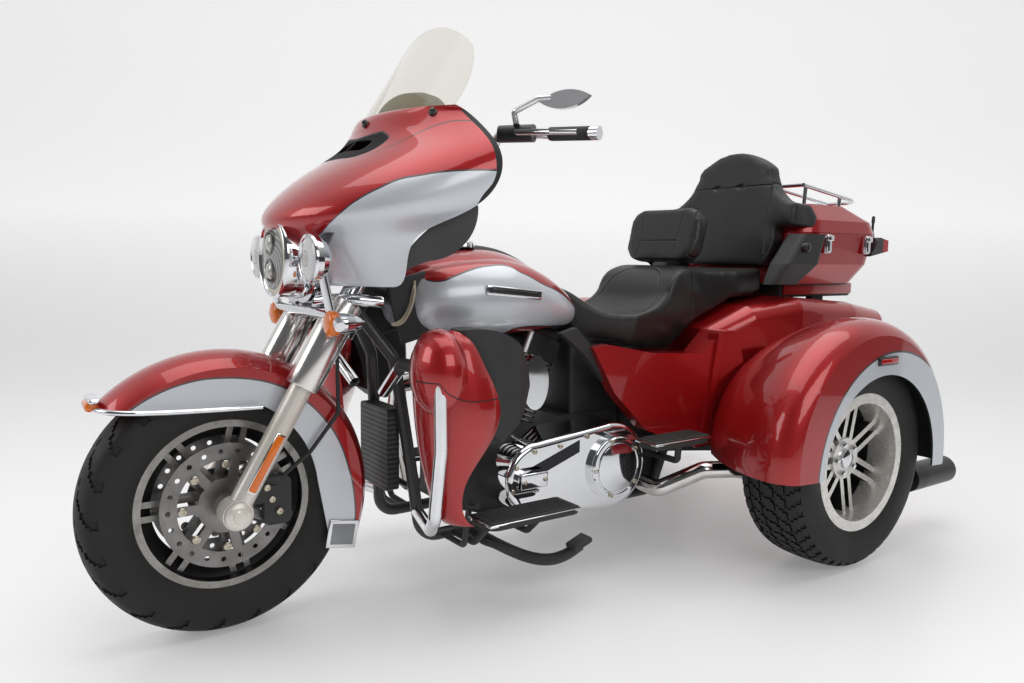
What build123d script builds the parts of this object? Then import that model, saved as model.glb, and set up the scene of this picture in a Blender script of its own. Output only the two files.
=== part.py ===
from build123d import *
from math import sin, cos, tan, radians
import os

os.makedirs("parts", exist_ok=True)

# Motorized trike. Lengths are in mm, angles in degrees. +X points forward, +Y to
# the rider's left, +Z up from the floor. A station is a distance behind the front axle.
overall_length = 2670.0
wheelbase = 1670.0
fender_span = 1390.0
rear_track = 1110.0
rake = 30.0
trail = 100.0
fork_spacing = 250.0
front_tyre_radius = 316.0
front_tyre_half = 65.0
rear_tyre_radius = 322.0
rear_tyre_half = 104.0
seam_gap = 1.0
run_gap = 0.4
touch = 0.3
shell = 5.0

front_axle_x = overall_length / 2 - front_tyre_radius
rear_axle_x = front_axle_x - wheelbase
fender_face = fender_span / 2
front_axle = Vector(front_axle_x, 0, front_tyre_radius)
leg_dir = Vector(-sin(radians(rake)), 0, cos(radians(rake)))
back_dir = Vector(-cos(radians(rake)), 0, -sin(radians(rake)))
stem_offset = front_tyre_radius * sin(radians(rake)) - trail * cos(radians(rake))


def at(station, y, z):
    return Vector(front_axle_x - station, y, z)


def on_leg(distance, y=0.0, behind=0.0):
    return front_axle + leg_dir * distance + back_dir * behind + Vector(0, y, 0)


def cross_plane(station):
    return Plane(origin=at(station, 0, 0), x_dir=(0, 1, 0), z_dir=(1, 0, 0))


def side_plane(y):
    return Plane(origin=at(0, y, 0), x_dir=(-1, 0, 0), z_dir=(0, 1, 0))


def rod(points, bend, radius):
    with BuildPart() as bar:
        with BuildLine() as route:
            start = points[0]
            for a, b, c in zip(points, points[1:], points[2:]):
                u, v = (b - a).normalized(), (c - b).normalized()
                half_turn = radians(u.get_angle(v)) / 2
                if half_turn > 0.005:
                    cut = min(bend * tan(half_turn), 0.45 * (b - a).length, 0.45 * (c - b).length)
                    arc = cut / tan(half_turn)
                    Line(start, b - u * cut)
                    ThreePointArc(b - u * cut, b + (v - u).normalized() * (arc / cos(half_turn) - arc), b + v * cut)
                    start = b + v * cut
            Line(start, points[-1])
        with BuildSketch(Plane(origin=points[0], z_dir=points[1] - points[0])):
            Circle(radius)
        sweep(path=route.line)
    return bar.part


def mirrored(points):
    return [Vector(p.X, -p.Y, p.Z) for p in points]


def save(piece, name):
    piece.part.label = name
    export_step(piece.part, "parts/" + name + ".step")


# Wheels and tyres
front_bead = 203.2
front_flange = 217.0
front_bead_half = 38.0
rear_bead = 190.5
rear_flange = 206.0
rear_bead_half = 88.0
lip = 8.0
spoke_pairs = 7
hub_radius = 52.0
axle_radius = 12.5
hub_half = 50.0
rear_wheel_y = rear_track / 2


def tyre_ring(centre, bead, flange, bead_half, radius, half):
    with BuildPart() as ring:
        with BuildSketch(Plane(origin=centre, x_dir=(1, 0, 0), z_dir=(0, 0, 1))):
            with BuildLine():
                Polyline((flange + 2, bead_half), (bead, bead_half), (bead, -bead_half), (flange + 2, -bead_half))
                ThreePointArc((flange + 2, bead_half), (bead + 0.5 * (radius - bead), half), (radius - 16, 0.8 * half))
                ThreePointArc((radius - 16, 0.8 * half), (radius, 0), (radius - 16, -0.8 * half))
                ThreePointArc((radius - 16, -0.8 * half), (bead + 0.5 * (radius - bead), -half), (flange + 2, -bead_half))
            make_face()
        revolve(axis=Axis(centre, (0, 1, 0)))
    return ring.part


def rim_ring(centre, bead, flange, bead_half, inner):
    with BuildPart() as ring:
        with BuildSketch(Plane(origin=centre, x_dir=(1, 0, 0), z_dir=(0, 0, 1))):
            with BuildLine():
                edge = bead_half + touch
                Polyline((inner, edge + lip), (flange, edge + lip), (flange, edge), (bead - touch, edge),
                         (bead - touch, -edge), (flange, -edge), (flange, -edge - lip), (inner, -edge - lip), close=True)
            make_face()
        revolve(axis=Axis(centre, (0, 1, 0)))
    return ring.part


with BuildPart() as front_tyre:
    add(tyre_ring(front_axle, front_bead, front_flange, front_bead_half, front_tyre_radius, front_tyre_half))
save(front_tyre, "front_tyre")

front_spoke_width = 15.0
front_spoke_half = 14.0
front_spoke_spread = 17.0
with BuildPart() as front_wheel:
    add(rim_ring(front_axle, front_bead, front_flange, front_bead_half, front_bead - 16))
    with BuildSketch(Plane(origin=front_axle, x_dir=(1, 0, 0), z_dir=(0, 1, 0))):
        with PolarLocations((front_bead - 12 + hub_radius) / 2, spoke_pairs):
            with Locations((0, front_spoke_spread), (0, -front_spoke_spread)):
                Rectangle(front_bead - hub_radius + 4, front_spoke_width)
    extrude(amount=front_spoke_half, both=True)
    with BuildSketch(Plane(origin=front_axle, x_dir=(1, 0, 0), z_dir=(0, 1, 0))):
        Circle(hub_radius)
    extrude(amount=hub_half, both=True)
    with BuildSketch(Plane(origin=front_axle, x_dir=(1, 0, 0), z_dir=(0, 1, 0))):
        Circle(axle_radius + run_gap)
    extrude(amount=hub_half + 1, both=True, mode=Mode.SUBTRACT)
save(front_wheel, "front_wheel")

disc_radius = 150.0
disc_inner = 112.0
disc_thickness = 5.0
disc_holes = 21
with BuildPart() as front_discs:
    for side in (1, -1):
        with BuildSketch(Plane(origin=front_axle + Vector(0, side * hub_half, 0), x_dir=(1, 0, 0), z_dir=(0, side, 0))):
            Circle(disc_radius)
            Circle(disc_inner, mode=Mode.SUBTRACT)
            with PolarLocations((disc_radius + disc_inner) / 2, disc_holes):
                Circle(6, mode=Mode.SUBTRACT)
            with PolarLocations(88, spoke_pairs):
                Rectangle(58, 22)
            Circle(66)
            Circle(30, mode=Mode.SUBTRACT)
        extrude(amount=disc_thickness)
save(front_discs, "front_discs")

rear_spoke_recess = 62.0
rear_spoke_width = 16.0
rear_spoke_depth = 34.0
rear_spoke_spread = 18.0
rear_hub_radius = 62.0
axle_end = 436.0
stub_radius = 16.0
for side, name in ((1, "left"), (-1, "right")):
    centre = Vector(rear_axle_x, side * rear_wheel_y, rear_tyre_radius)
    with BuildPart() as rear_tyre:
        add(tyre_ring(centre, rear_bead, rear_flange, rear_bead_half, rear_tyre_radius, rear_tyre_half))
    save(rear_tyre, "rear_tyre_" + name)
    face = centre + Vector(0, side * (rear_bead_half + lip - rear_spoke_recess), 0)
    with BuildPart() as rear_wheel:
        add(rim_ring(centre, rear_bead, rear_flange, rear_bead_half, rear_bead - 14))
        with BuildSketch(Plane(origin=face, x_dir=(1, 0, 0), z_dir=(0, -side, 0))):
            with PolarLocations((rear_bead - 10 + rear_hub_radius) / 2, spoke_pairs):
                with Locations((0, rear_spoke_spread), (0, -rear_spoke_spread)):
                    Rectangle(rear_bead - rear_hub_radius + 2, rear_spoke_width)
        extrude(amount=rear_spoke_depth)
        with BuildSketch(Plane(origin=face + Vector(0, side * 6, 0), x_dir=(1, 0, 0), z_dir=(0, -side, 0))):
            Circle(rear_hub_radius)
        extrude(amount=rear_wheel_y + rear_bead_half + lip - rear_spoke_recess + 6 - axle_end - 5)
        with BuildSketch(Plane(origin=Vector(rear_axle_x, side * (axle_end + 4), rear_tyre_radius), x_dir=(1, 0, 0), z_dir=(0, side, 0))):
            Circle(stub_radius + run_gap)
        extrude(amount=80, mode=Mode.SUBTRACT)
    save(rear_wheel, "rear_wheel_" + name)

# Steering assembly
slider_radius = 27.0
slider_top = 330.0
cover_radius = 34.0
cover_top = 478.0
tube_radius = 24.5
tube_top = 735.0
lower_clamp = 492.0
upper_clamp = 690.0
clamp_thickness = 34.0
stem_radius = 18.0
axle_half = 150.0
leg_sides = (fork_spacing / 2, -fork_spacing / 2)

with BuildPart() as fork_sliders:
    for y in leg_sides:
        with BuildSketch(Plane(origin=on_leg(-22, y), z_dir=leg_dir)):
            Circle(slider_radius)
        extrude(amount=slider_top + 22)
        with BuildSketch(Plane(origin=front_axle + Vector(0, y, 0), x_dir=(1, 0, 0), z_dir=(0, 1, 0))):
            Circle(35)
        extrude(amount=26, both=True)
    with BuildSketch(Plane(origin=front_axle, x_dir=(1, 0, 0), z_dir=(0, 1, 0))):
        Circle(axle_radius)
    extrude(amount=axle_half + 6, both=True)
save(fork_sliders, "fork_sliders")

with BuildPart() as fork_tubes:
    for y in leg_sides:
        for radius, top in ((cover_radius, cover_top), (tube_radius, tube_top)):
            with BuildSketch(Plane(origin=on_leg(slider_top, y), z_dir=leg_dir)):
                Circle(radius)
            extrude(amount=top - slider_top)
save(fork_tubes, "fork_tubes")

with BuildPart() as triple_clamps:
    for level in (lower_clamp, upper_clamp):
        with BuildSketch(Plane(origin=on_leg(level), x_dir=(0, 1, 0), z_dir=leg_dir)):
            with Locations((fork_spacing / 2, 0), (-fork_spacing / 2, 0)):
                Circle(42)
            with Locations((0, stem_offset)):
                Circle(38)
            Polygon((-fork_spacing / 2, -30), (fork_spacing / 2, -30), (fork_spacing / 2 + 20, 34),
                    (34, stem_offset + 16), (-34, stem_offset + 16), (-fork_spacing / 2 - 20, 34), align=None)
            with Locations((fork_spacing / 2, 0), (-fork_spacing / 2, 0)):
                Circle(tube_radius, mode=Mode.SUBTRACT)
        extrude(amount=clamp_thickness)
    with BuildSketch(Plane(origin=on_leg(lower_clamp, 0, stem_offset), z_dir=leg_dir)):
        Circle(stem_radius)
    extrude(amount=upper_clamp + clamp_thickness - lower_clamp)
save(triple_clamps, "triple_clamps")

fender_crown = 368.0
fender_half = 86.0
fender_skirt = 206.0
fender_wall = 4.0
fender_front = 40.0
fender_rear = 206.0
# Fender opening, as station and height: front hem, its end over the axle, the arc round the wheel, the rear hem
fender_hem = ((-420, 571), (-150, 559), (84, 551))
fender_bow = ((84, 551), (176, 462), (214, 352))
fender_heel = (252, 150)
with BuildPart() as front_fender:
    nose = radians(fender_front)
    with BuildSketch(Plane(origin=front_axle, x_dir=(cos(nose), 0, sin(nose)), z_dir=(-sin(nose), 0, cos(nose)))):
        with BuildLine():
            Line((fender_skirt, fender_half), (fender_crown - 36, fender_half))
            ThreePointArc((fender_crown - 36, fender_half), (fender_crown, 0), (fender_crown - 36, -fender_half))
            Polyline((fender_crown - 36, -fender_half), (fender_skirt, -fender_half),
                     (fender_skirt, -fender_half + fender_wall), (fender_crown - 37, -fender_half + fender_wall))
            ThreePointArc((fender_crown - 37, -fender_half + fender_wall), (fender_crown - fender_wall, 0),
                          (fender_crown - 37, fender_half - fender_wall))
            Polyline((fender_crown - 37, fender_half - fender_wall), (fender_skirt, fender_half - fender_wall),
                     (fender_skirt, fender_half))
        make_face()
    revolve(axis=Axis(front_axle, (0, -1, 0)), revolution_arc=fender_rear - fender_front)
    with BuildSketch(side_plane(0)):
        with BuildLine():
            Polyline(fender_heel, (fender_heel[0], 0), (fender_hem[0][0], 0), *fender_hem)
            ThreePointArc(*fender_bow)
            Line(fender_bow[-1], fender_heel)
        make_face()
    extrude(amount=fender_half + 1, both=True, mode=Mode.SUBTRACT)
    for y in leg_sides:
        inner = fender_half - 1 if y > 0 else -fender_half + 1
        with BuildSketch(Plane(origin=on_leg(308, inner), x_dir=(0, 1, 0), z_dir=leg_dir)):
            with Locations(((y - inner) / 2, 0)):
                Rectangle(abs(y - inner), 30)
        extrude(amount=20)
    add(fork_sliders.part, mode=Mode.SUBTRACT)
save(front_fender, "front_fender")

caliper_station = 112.0
caliper_z = 318.0
with BuildPart() as brake_calipers:
    for side in (1, -1):
        with BuildSketch(side_plane(side * (hub_half - 16))):
            with Locations((caliper_station, caliper_z)):
                RectangleRounded(66, 118, 16)
        extrude(amount=side * (disc_thickness + 50))
    with BuildSketch(Plane(origin=front_axle, x_dir=(1, 0, 0), z_dir=(0, 1, 0))):
        Circle(disc_radius + 5)
    extrude(amount=hub_half + disc_thickness + 6, both=True, mode=Mode.SUBTRACT)
    for side in (1, -1):
        with BuildSketch(side_plane(side * (hub_half + disc_thickness + 6))):
            with Locations((78, caliper_z + 20)):
                RectangleRounded(70, 40, 10)
        extrude(amount=side * 33)
    add(fork_sliders.part, mode=Mode.SUBTRACT)
save(brake_calipers, "brake_calipers")

# Fairing sections: height, nose station, rear edge station, half width at the rear edge
fairing_sections = (
    (836, 222, 345, 228),
    (900, 196, 372, 262),
    (985, 128, 428, 308),
    (1045, 158, 516, 374),
    (1105, 228, 543, 400),
    (1165, 318, 543, 386),
    (1225, 374, 536, 318),
    (1272, 408, 500, 262),
)
lamp_z = 901.0
lamp_hole = 112.0
spot_y = 184.0
spot_front = 163.0
spot_radius = 57.0
spot_depth = 50.0
rim_reach = 12.0


def fairing_form(inset, reach, low, high):
    with BuildPart() as form:
        for k, (z, nose, edge, half) in enumerate(fairing_sections):
            z += low if k == 0 else high if k == len(fairing_sections) - 1 else 0
            with BuildSketch(Plane.XY.offset(z)):
                with BuildLine():
                    a, b, c = at(edge + reach, half - inset, 0), at(nose + inset, 0, 0), at(edge + reach, inset - half, 0)
                    ThreePointArc((a.X, a.Y), (b.X, b.Y), (c.X, c.Y))
                    Line((c.X, c.Y), (a.X, a.Y))
                make_face()
        loft()
    return form.part


with BuildPart() as fairing:
    add(fairing_form(0, 0, 0, 0))
    add(fairing_form(shell, rim_reach, -10, -6), mode=Mode.SUBTRACT)
    with BuildSketch(cross_plane(60)):
        with Locations((0, lamp_z)):
            Circle(lamp_hole)
        with Locations((0, lamp_z - 60)):
            Rectangle(2 * lamp_hole, 120)
    extrude(amount=-300, mode=Mode.SUBTRACT)
    with BuildSketch(cross_plane(60)):
        with Locations((spot_y, lamp_z), (-spot_y, lamp_z)):
            Circle(spot_radius + 4)
    extrude(amount=-160, mode=Mode.SUBTRACT)
    for y in leg_sides:
        with BuildSketch(Plane(origin=on_leg(lower_clamp, y), z_dir=leg_dir)):
            Circle(tube_radius + 6)
        extrude(amount=tube_top - lower_clamp, mode=Mode.SUBTRACT)
    with BuildSketch(Plane(origin=at(348, 0, 1180), x_dir=(0, 1, 0), z_dir=(cos(radians(45)), 0, sin(radians(45))))):
        RectangleRounded(190, 44, 14)
        Rectangle(8, 44, mode=Mode.SUBTRACT)
    extrude(amount=24, both=True, mode=Mode.SUBTRACT)
save(fairing, "fairing")

with BuildPart() as inner_fairing:
    add(fairing_form(shell + touch, rim_reach, -10, -6 - touch))
    with BuildSketch(side_plane(0)):
        Polygon((440, 1032), (470, 1032), (512, 1090), (520, 1170), (518, 1262), (486, 1262), (490, 1170), (482, 1090), align=None)
    extrude(amount=500, both=True, mode=Mode.INTERSECT)
save(inner_fairing, "inner_fairing")

deflector_yaw = 27.6
with BuildPart() as fairing_deflectors:
    yaw = radians(deflector_yaw)
    with BuildSketch(Plane(origin=at(330, 220, 0), x_dir=(-cos(yaw), sin(yaw), 0), z_dir=(sin(yaw), cos(yaw), 0))):
        with BuildLine():
            ThreePointArc((10, 846), (98, 968), (214, 1040))
            Line((214, 1040), (224, 1030))
            ThreePointArc((224, 1030), (196, 944), (110, 899))
            ThreePointArc((110, 899), (62, 880), (10, 846))
        make_face()
    extrude(amount=-6)
    mirror(about=Plane.XZ)
    add(fairing.part, mode=Mode.SUBTRACT)
save(fairing_deflectors, "fairing_deflectors")

shield_base = fairing_sections[-1][0] + touch
shield_half = 256.0
shield_lean = 33.0
shield_radius = 438.0
shield_station = 414.0
shield_top = 1511.0
shield_thickness = 4.5
with BuildPart() as windshield:
    with BuildSketch(Plane.XY.offset(shield_base)):
        with Locations((front_axle_x - shield_station - shield_radius, 0)):
            Circle(shield_radius)
            Circle(shield_radius - shield_thickness, mode=Mode.SUBTRACT)
        with Locations((front_axle_x - shield_station - 600 - 96, 0)):
            Rectangle(1200, 800, mode=Mode.SUBTRACT)
    extrude(amount=(shield_top - shield_base + 40) / cos(radians(shield_lean)), dir=(-tan(radians(shield_lean)), 0, 1))
    with BuildSketch(Plane(origin=(0, 0, 0), x_dir=(0, 1, 0), z_dir=(1, 0, 0))):
        with BuildLine():
            Line((-shield_half, shield_base), (shield_half, shield_base))
            ThreePointArc((shield_half, shield_base), (shield_half - 6, 1356), (shield_half - 44, 1434))
            ThreePointArc((shield_half - 44, 1434), (0, shield_top), (44 - shield_half, 1434))
            ThreePointArc((44 - shield_half, 1434), (6 - shield_half, 1356), (-shield_half, shield_base))
        make_face()
    extrude(amount=2000, both=True, mode=Mode.INTERSECT)
save(windshield, "windshield")

lamp_front = 156.0
lamp_radius = 96.0
with BuildPart() as headlamp:
    with BuildSketch(Plane(origin=at(0, 0, lamp_z), x_dir=(-1, 0, 0), z_dir=(0, 1, 0))):
        with BuildLine():
            ThreePointArc((lamp_front - 13, 0), (lamp_front - 9, 48), (lamp_front + 2, 86))
            Polyline((lamp_front + 2, 86), (lamp_front, 88), (lamp_front, lamp_radius), (210, 102), (210, lamp_hole - touch),
                     (226, lamp_hole - touch), (226, 100), (300, 62), (300, 0), (lamp_front - 13, 0))
        make_face()
    revolve(axis=Axis(at(0, 0, lamp_z), (1, 0, 0)))
save(headlamp, "headlamp")

bar_station = 214.0
bar_z = 770.0
signal_y = 196.0
signal_z = 751.0
signal_front = 218.0
signal_depth = 76.0
signal_radius = 25.0
# Lamp shell outline: part of the depth, part of the radius
lamp_shell = ((0, 0), (0, 1), (0.3, 0.97), (0.58, 0.84), (0.8, 0.6), (0.94, 0.32), (1, 0))
with BuildPart() as lamp_bar:
    bar = [at(bar_station, 236, bar_z - 24), at(bar_station, 190, bar_z), at(bar_station, 0, bar_z)]
    add(rod(bar + mirrored(bar[:2])[::-1], 22, 13))
    for side in (1, -1):
        add(rod([at(bar_station, side * spot_y, bar_z), at(spot_front + 30, side * spot_y, lamp_z - 34)], 0, 11))
        with BuildSketch(Plane(origin=at(0, side * spot_y, lamp_z), x_dir=(-1, 0, 0), z_dir=(0, 1, 0))):
            Polygon(*[(spot_front + depth * spot_depth, radius * spot_radius) for depth, radius in lamp_shell], align=None)
        revolve(axis=Axis(at(0, side * spot_y, lamp_z), (1, 0, 0)))
        add(rod([at(bar_station, side * 60, bar_z), on_leg(lower_clamp + 17, side * 60, -22)], 0, 11))
        with BuildSketch(Plane(origin=at(0, side * signal_y, signal_z), x_dir=(-1, 0, 0), z_dir=(0, 1, 0))):
            Polygon(*[(signal_front + depth * signal_depth, radius * signal_radius) for depth, radius in lamp_shell], align=None)
        revolve(axis=Axis(at(0, side * signal_y, signal_z), (1, 0, 0)))
        add(rod([at(signal_front + 40, side * signal_y, signal_z), at(bar_station, side * signal_y, bar_z)], 0, 7))
    add(triple_clamps.part, mode=Mode.SUBTRACT)
save(lamp_bar, "lamp_bar")

bar_radius = 12.7
grip_radius = 17.0
grip_inner = at(722, 348, 1214)
grip_outer = at(772, 474, 1207)
grip_dir = (grip_outer - grip_inner).normalized()
riser_y = 45.0
with BuildPart() as handlebar:
    half = [at(440, 90, 1000), at(560, 170, 1012), at(648, 236, 1224), grip_inner, grip_outer]
    add(rod(mirrored(half)[::-1] + half, 34, bar_radius))
    for d, p in ((grip_dir, grip_inner), (Vector(grip_dir.X, -grip_dir.Y, grip_dir.Z), Vector(grip_inner.X, -grip_inner.Y, grip_inner.Z))):
        with BuildSketch(Plane(origin=p, z_dir=d)):
            Circle(grip_radius)
        extrude(amount=(grip_outer - grip_inner).length)
    for side in (1, -1):
        add(rod([on_leg(upper_clamp + clamp_thickness, side * riser_y), at(440, side * riser_y, 1000)], 0, 17))
    add(triple_clamps.part, mode=Mode.SUBTRACT)
save(handlebar, "handlebar")

with BuildPart() as hand_controls:
    add(rod([at(640, 246, 1218), at(690, 322, 1216)], 0, 22))
    add(rod([at(668, 296, 1217), at(630, 330, 1212), at(668, 420, 1206), at(706, 470, 1204)], 14, 7))
    add(rod([at(664, 288, 1226), at(632, 318, 1262), at(664, 372, 1288), at(682, 402, 1288)], 12, 8))
    with BuildSketch(Plane(origin=at(680, 392, 1284), x_dir=Vector(-52, 84, 26).normalized(), z_dir=Vector(-84, -52, 0).normalized())):
        with BuildLine():
            ThreePointArc((-20, 0), (40, 34), (104, 22))
            ThreePointArc((104, 22), (50, -8), (-20, 0))
        make_face()
    extrude(amount=9, both=True)
    mirror(about=Plane.XZ)
    add(handlebar.part, mode=Mode.SUBTRACT)
save(hand_controls, "hand_controls")

with BuildPart() as brake_hose:
    hose = [at(118, 84, 370), at(190, 100, 430), at(262, 104, 520), at(270, 80, 660), on_leg(lower_clamp, 70, 22)]
    add(rod(hose, 30, 5))
    add(rod(mirrored(hose), 30, 5))
    add(brake_calipers.part, mode=Mode.SUBTRACT)
    add(triple_clamps.part, mode=Mode.SUBTRACT)
save(brake_hose, "brake_hose")

# Chassis
head_low = lower_clamp + clamp_thickness + 4
head_high = upper_clamp - 4
rail_y_frame = 125.0
rail_z = 165.0
down_tube = 16.0
backbone_radius = 27.0
pivot_z = 335.0
pivot_plate = 116.0
body_step = 450.0
floor_station = 1838.0
with BuildPart() as frame:
    with BuildSketch(Plane(origin=on_leg(head_low, 0, stem_offset), z_dir=leg_dir)):
        Circle(34)
    extrude(amount=head_high - head_low)
    add(rod([on_leg(628, 0, stem_offset), at(1000, 0, 668), at(1330, 0, 560)], 120, backbone_radius))
    for side in (1, -1):
        add(rod([on_leg(570, side * 10, stem_offset), at(432, side * 70, 640), at(462, side * 105, 360), at(482, side * rail_y_frame, rail_z),
                 at(1330, side * rail_y_frame, rail_z), at(1410, side * 150, body_step - down_tube - touch), at(floor_station - 8, side * 150, body_step - down_tube - touch)], 55, down_tube))
        with BuildSketch(side_plane(side * (pivot_plate - 20))):
            Polygon((1196, rail_z), (1345, rail_z), (1392, 560), (1300, 590), (1196, 470), align=None)
        extrude(amount=side * 20)
        add(rod([at(462, 0, 300), at(464, side * 108, 300)], 0, 9))
        add(rod([at(448, 0, 500), at(448, side * 90, 500)], 0, 9))
    add(rod([at(1340, 112, 540), at(1340, -112, 540)], 0, 20))
    add(rod([at(900, 128, rail_z), at(900, -128, rail_z)], 0, 14))
    with BuildSketch(Plane.XY.offset(rail_z - 26)):
        with Locations((front_axle_x - 900, 0)):
            Rectangle(90, 120)
    extrude(amount=20)
    with BuildSketch(Plane(origin=on_leg(head_low - 1, 0, stem_offset), z_dir=leg_dir)):
        Circle(stem_radius + run_gap)
    extrude(amount=head_high - head_low + 2, mode=Mode.SUBTRACT)
save(frame, "frame")

crank_station = 775.0
crank_z = 310.0
case_half = 100.0
vee = 22.5
deck = 135.0
with BuildPart() as crankcase:
    with BuildSketch(side_plane(0)):
        Polygon((600, 215), (600, 340), (654, 406), (crank_station, crank_z + deck / cos(radians(vee))), (896, 406), (960, 440),
                (1180, 440), (1180, 215), (1110, 190), (680, 190), align=None)
    extrude(amount=case_half, both=True)
    add(frame.part, mode=Mode.SUBTRACT)
save(crankcase, "crankcase")

barrel_radius = 62.0
fin_size = 148.0
fin_pitch = 15.0
fin_count = 13
head_top = 396.0
crank = at(crank_station, 0, crank_z)


def cylinder(sign):
    lean = Vector(sign * sin(radians(vee)), 0, cos(radians(vee)))
    with BuildPart() as form:
        with BuildSketch(Plane(origin=crank + lean * deck, x_dir=(0, 1, 0), z_dir=lean)):
            Circle(barrel_radius)
        extrude(amount=head_top - 66 - deck)
        for k in range(fin_count):
            with BuildSketch(Plane(origin=crank + lean * (deck + 8 + k * fin_pitch), x_dir=(0, 1, 0), z_dir=lean)):
                RectangleRounded(fin_size, fin_size, 34)
            extrude(amount=4.5)
        with BuildSketch(Plane(origin=crank + lean * (head_top - 66), x_dir=(0, 1, 0), z_dir=lean)):
            RectangleRounded(fin_size + 14, fin_size - 8, 26)
        extrude(amount=66)
        with BuildSketch(side_plane(0)):
            with Locations((crank_station + sign * 249, crank_z + 300)):
                Rectangle(500, 800)
        extrude(amount=200, both=True, mode=Mode.SUBTRACT)
    return form.part


with BuildPart() as cylinders:
    add(cylinder(1))
    add(cylinder(-1))
    add(frame.part, mode=Mode.SUBTRACT)
save(cylinders, "cylinders")

primary_face = 252.0
clutch_station = 1047.0
clutch_z = 308.0
clutch_radius = 128.0
sprocket_radius = 100.0
derby_radius = 95.0
with BuildPart() as primary_cover:
    with BuildSketch(side_plane(case_half)):
        with Locations((clutch_station, clutch_z)):
            Circle(clutch_radius)
        with Locations((crank_station, crank_z)):
            Circle(sprocket_radius)
        Polygon((crank_station, crank_z - sprocket_radius), (clutch_station, clutch_z - clutch_radius),
                (clutch_station, clutch_z + clutch_radius), (crank_station, crank_z + sprocket_radius), align=None)
    extrude(amount=primary_face - case_half)
    fillet(primary_cover.faces().sort_by(Axis.Y)[-1].edges(), 16)
    with BuildSketch(side_plane(primary_face)):
        with Locations((clutch_station, clutch_z)):
            Circle(derby_radius)
        with Locations((crank_station - 26, crank_z + 4)):
            SlotOverall(104, 58)
    extrude(amount=14)
    add(frame.part, mode=Mode.SUBTRACT)
save(primary_cover, "primary_cover")

with BuildPart() as engine_covers:
    with BuildSketch(side_plane(-150)):
        with Locations((crank_station + 10, 560)):
            Circle(96)
    extrude(amount=-66)
    add(rod([at(crank_station, -150, 560), at(crank_station, 20, 560)], 0, 27))
    add(rod([at(crank_station - 40, -20, 560), at(crank_station + 40, -20, 560)], 0, 22))
    with BuildSketch(side_plane(176)):
        with Locations((crank_station + 25, 566)):
            Ellipse(44, 76)
    extrude(amount=24)
    add(rod([at(crank_station + 25, 180, 540), at(crank_station + 15, 90, 420)], 0, 8))
    add(cylinders.part, mode=Mode.SUBTRACT)
    add(crankcase.part, mode=Mode.SUBTRACT)
save(engine_covers, "engine_covers")

pipe_radius = 26.0
muffler_radius = 46.0
muffler_y = 560.0
with BuildPart() as exhaust:
    right = [at(596, -40, 560), at(540, -120, 540), at(552, -172, 420), at(600, -178, 214), at(1330, -190, 214), at(1420, -385, 214),
             at(2010, -385, 214), at(2066, -muffler_y, 190), at(2110, -muffler_y, 190)]
    left = [at(1180 + touch, 66, 232), at(1222, 66, 226), at(1250, 236, 204), at(1345, 330, 272), at(1425, 385, 276), at(1570, 385, 236), at(2010, 385, 214),
            at(2066, muffler_y, 190), at(2110, muffler_y, 190)]
    for route in (right, left):
        add(rod(route, 34, pipe_radius))
    for side in (1, -1):
        with BuildSketch(Plane(origin=at(2085, side * muffler_y, 190), z_dir=(-1, 0, 0))):
            Circle(muffler_radius)
        extrude(amount=240)
    add(frame.part, mode=Mode.SUBTRACT)
    add(cylinders.part, mode=Mode.SUBTRACT)
    add(crankcase.part, mode=Mode.SUBTRACT)
save(exhaust, "exhaust")

# Tank sections: station, half width, underside height, top height
tank_sections = (
    (470, 90, 738, 862),
    (500, 138, 716, 890),
    (580, 178, 700, 918),
    (680, 192, 697, 932),
    (800, 187, 698, 922),
    (910, 168, 706, 868),
    (975, 140, 714, 814),
    (1016, 96, 730, 778),
)
tunnel_half = 32.0
with BuildPart() as fuel_tank:
    for station, half, low, high in tank_sections:
        with BuildSketch(cross_plane(station)):
            with BuildLine():
                rise = high - low
                Line((-0.55 * half, low), (0.55 * half, low))
                ThreePointArc((0.55 * half, low), (half, low + 0.45 * rise), (0.55 * half, high - 0.12 * rise))
                ThreePointArc((0.55 * half, high - 0.12 * rise), (0, high), (-0.55 * half, high - 0.12 * rise))
                ThreePointArc((-0.55 * half, high - 0.12 * rise), (-half, low + 0.45 * rise), (-0.55 * half, low))
            make_face()
    loft()
    with BuildSketch(side_plane(0)):
        Polygon((300, 600), (300, 880), (1000, 700), (1100, 690), (1100, 600), align=None)
    extrude(amount=tunnel_half, both=True, mode=Mode.SUBTRACT)
    add(cylinders.part, mode=Mode.SUBTRACT)
save(fuel_tank, "fuel_tank")

seat_half = 188.0
with BuildPart() as seat:
    with BuildSketch(side_plane(0)):
        with BuildLine():
            Line((985, 800), (960, 842))
            ThreePointArc((960, 842), (1010, 820), (1075, 770))
            ThreePointArc((1075, 770), (1200, 742), (1330, 800))
            ThreePointArc((1330, 800), (1380, 872), (1450, 886))
            ThreePointArc((1450, 886), (1620, 872), (1780, 884))
            Polyline((1780, 884), (1780, 794), (1620, 786), (1480, 716), (1376, 626), (1190, 634), (1041, 664), (985, 800))
        make_face()
    extrude(amount=220, both=True)
    with BuildSketch(Plane.XY):
        with BuildLine():
            a = [(960, 42), (1075, 120), (1200, seat_half), (1330, seat_half - 6), (1470, 168), (1640, seat_half + 6), (1780, 180)]
            left = [(front_axle_x - s, y) for s, y in a]
            right = [(x, -y) for x, y in left[::-1]]
            Polyline(*left, *right, close=True)
        make_face()
    extrude(amount=1200, mode=Mode.INTERSECT)
    add(fuel_tank.part, mode=Mode.SUBTRACT)
    add(frame.part, mode=Mode.SUBTRACT)
save(seat, "seat")

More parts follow.
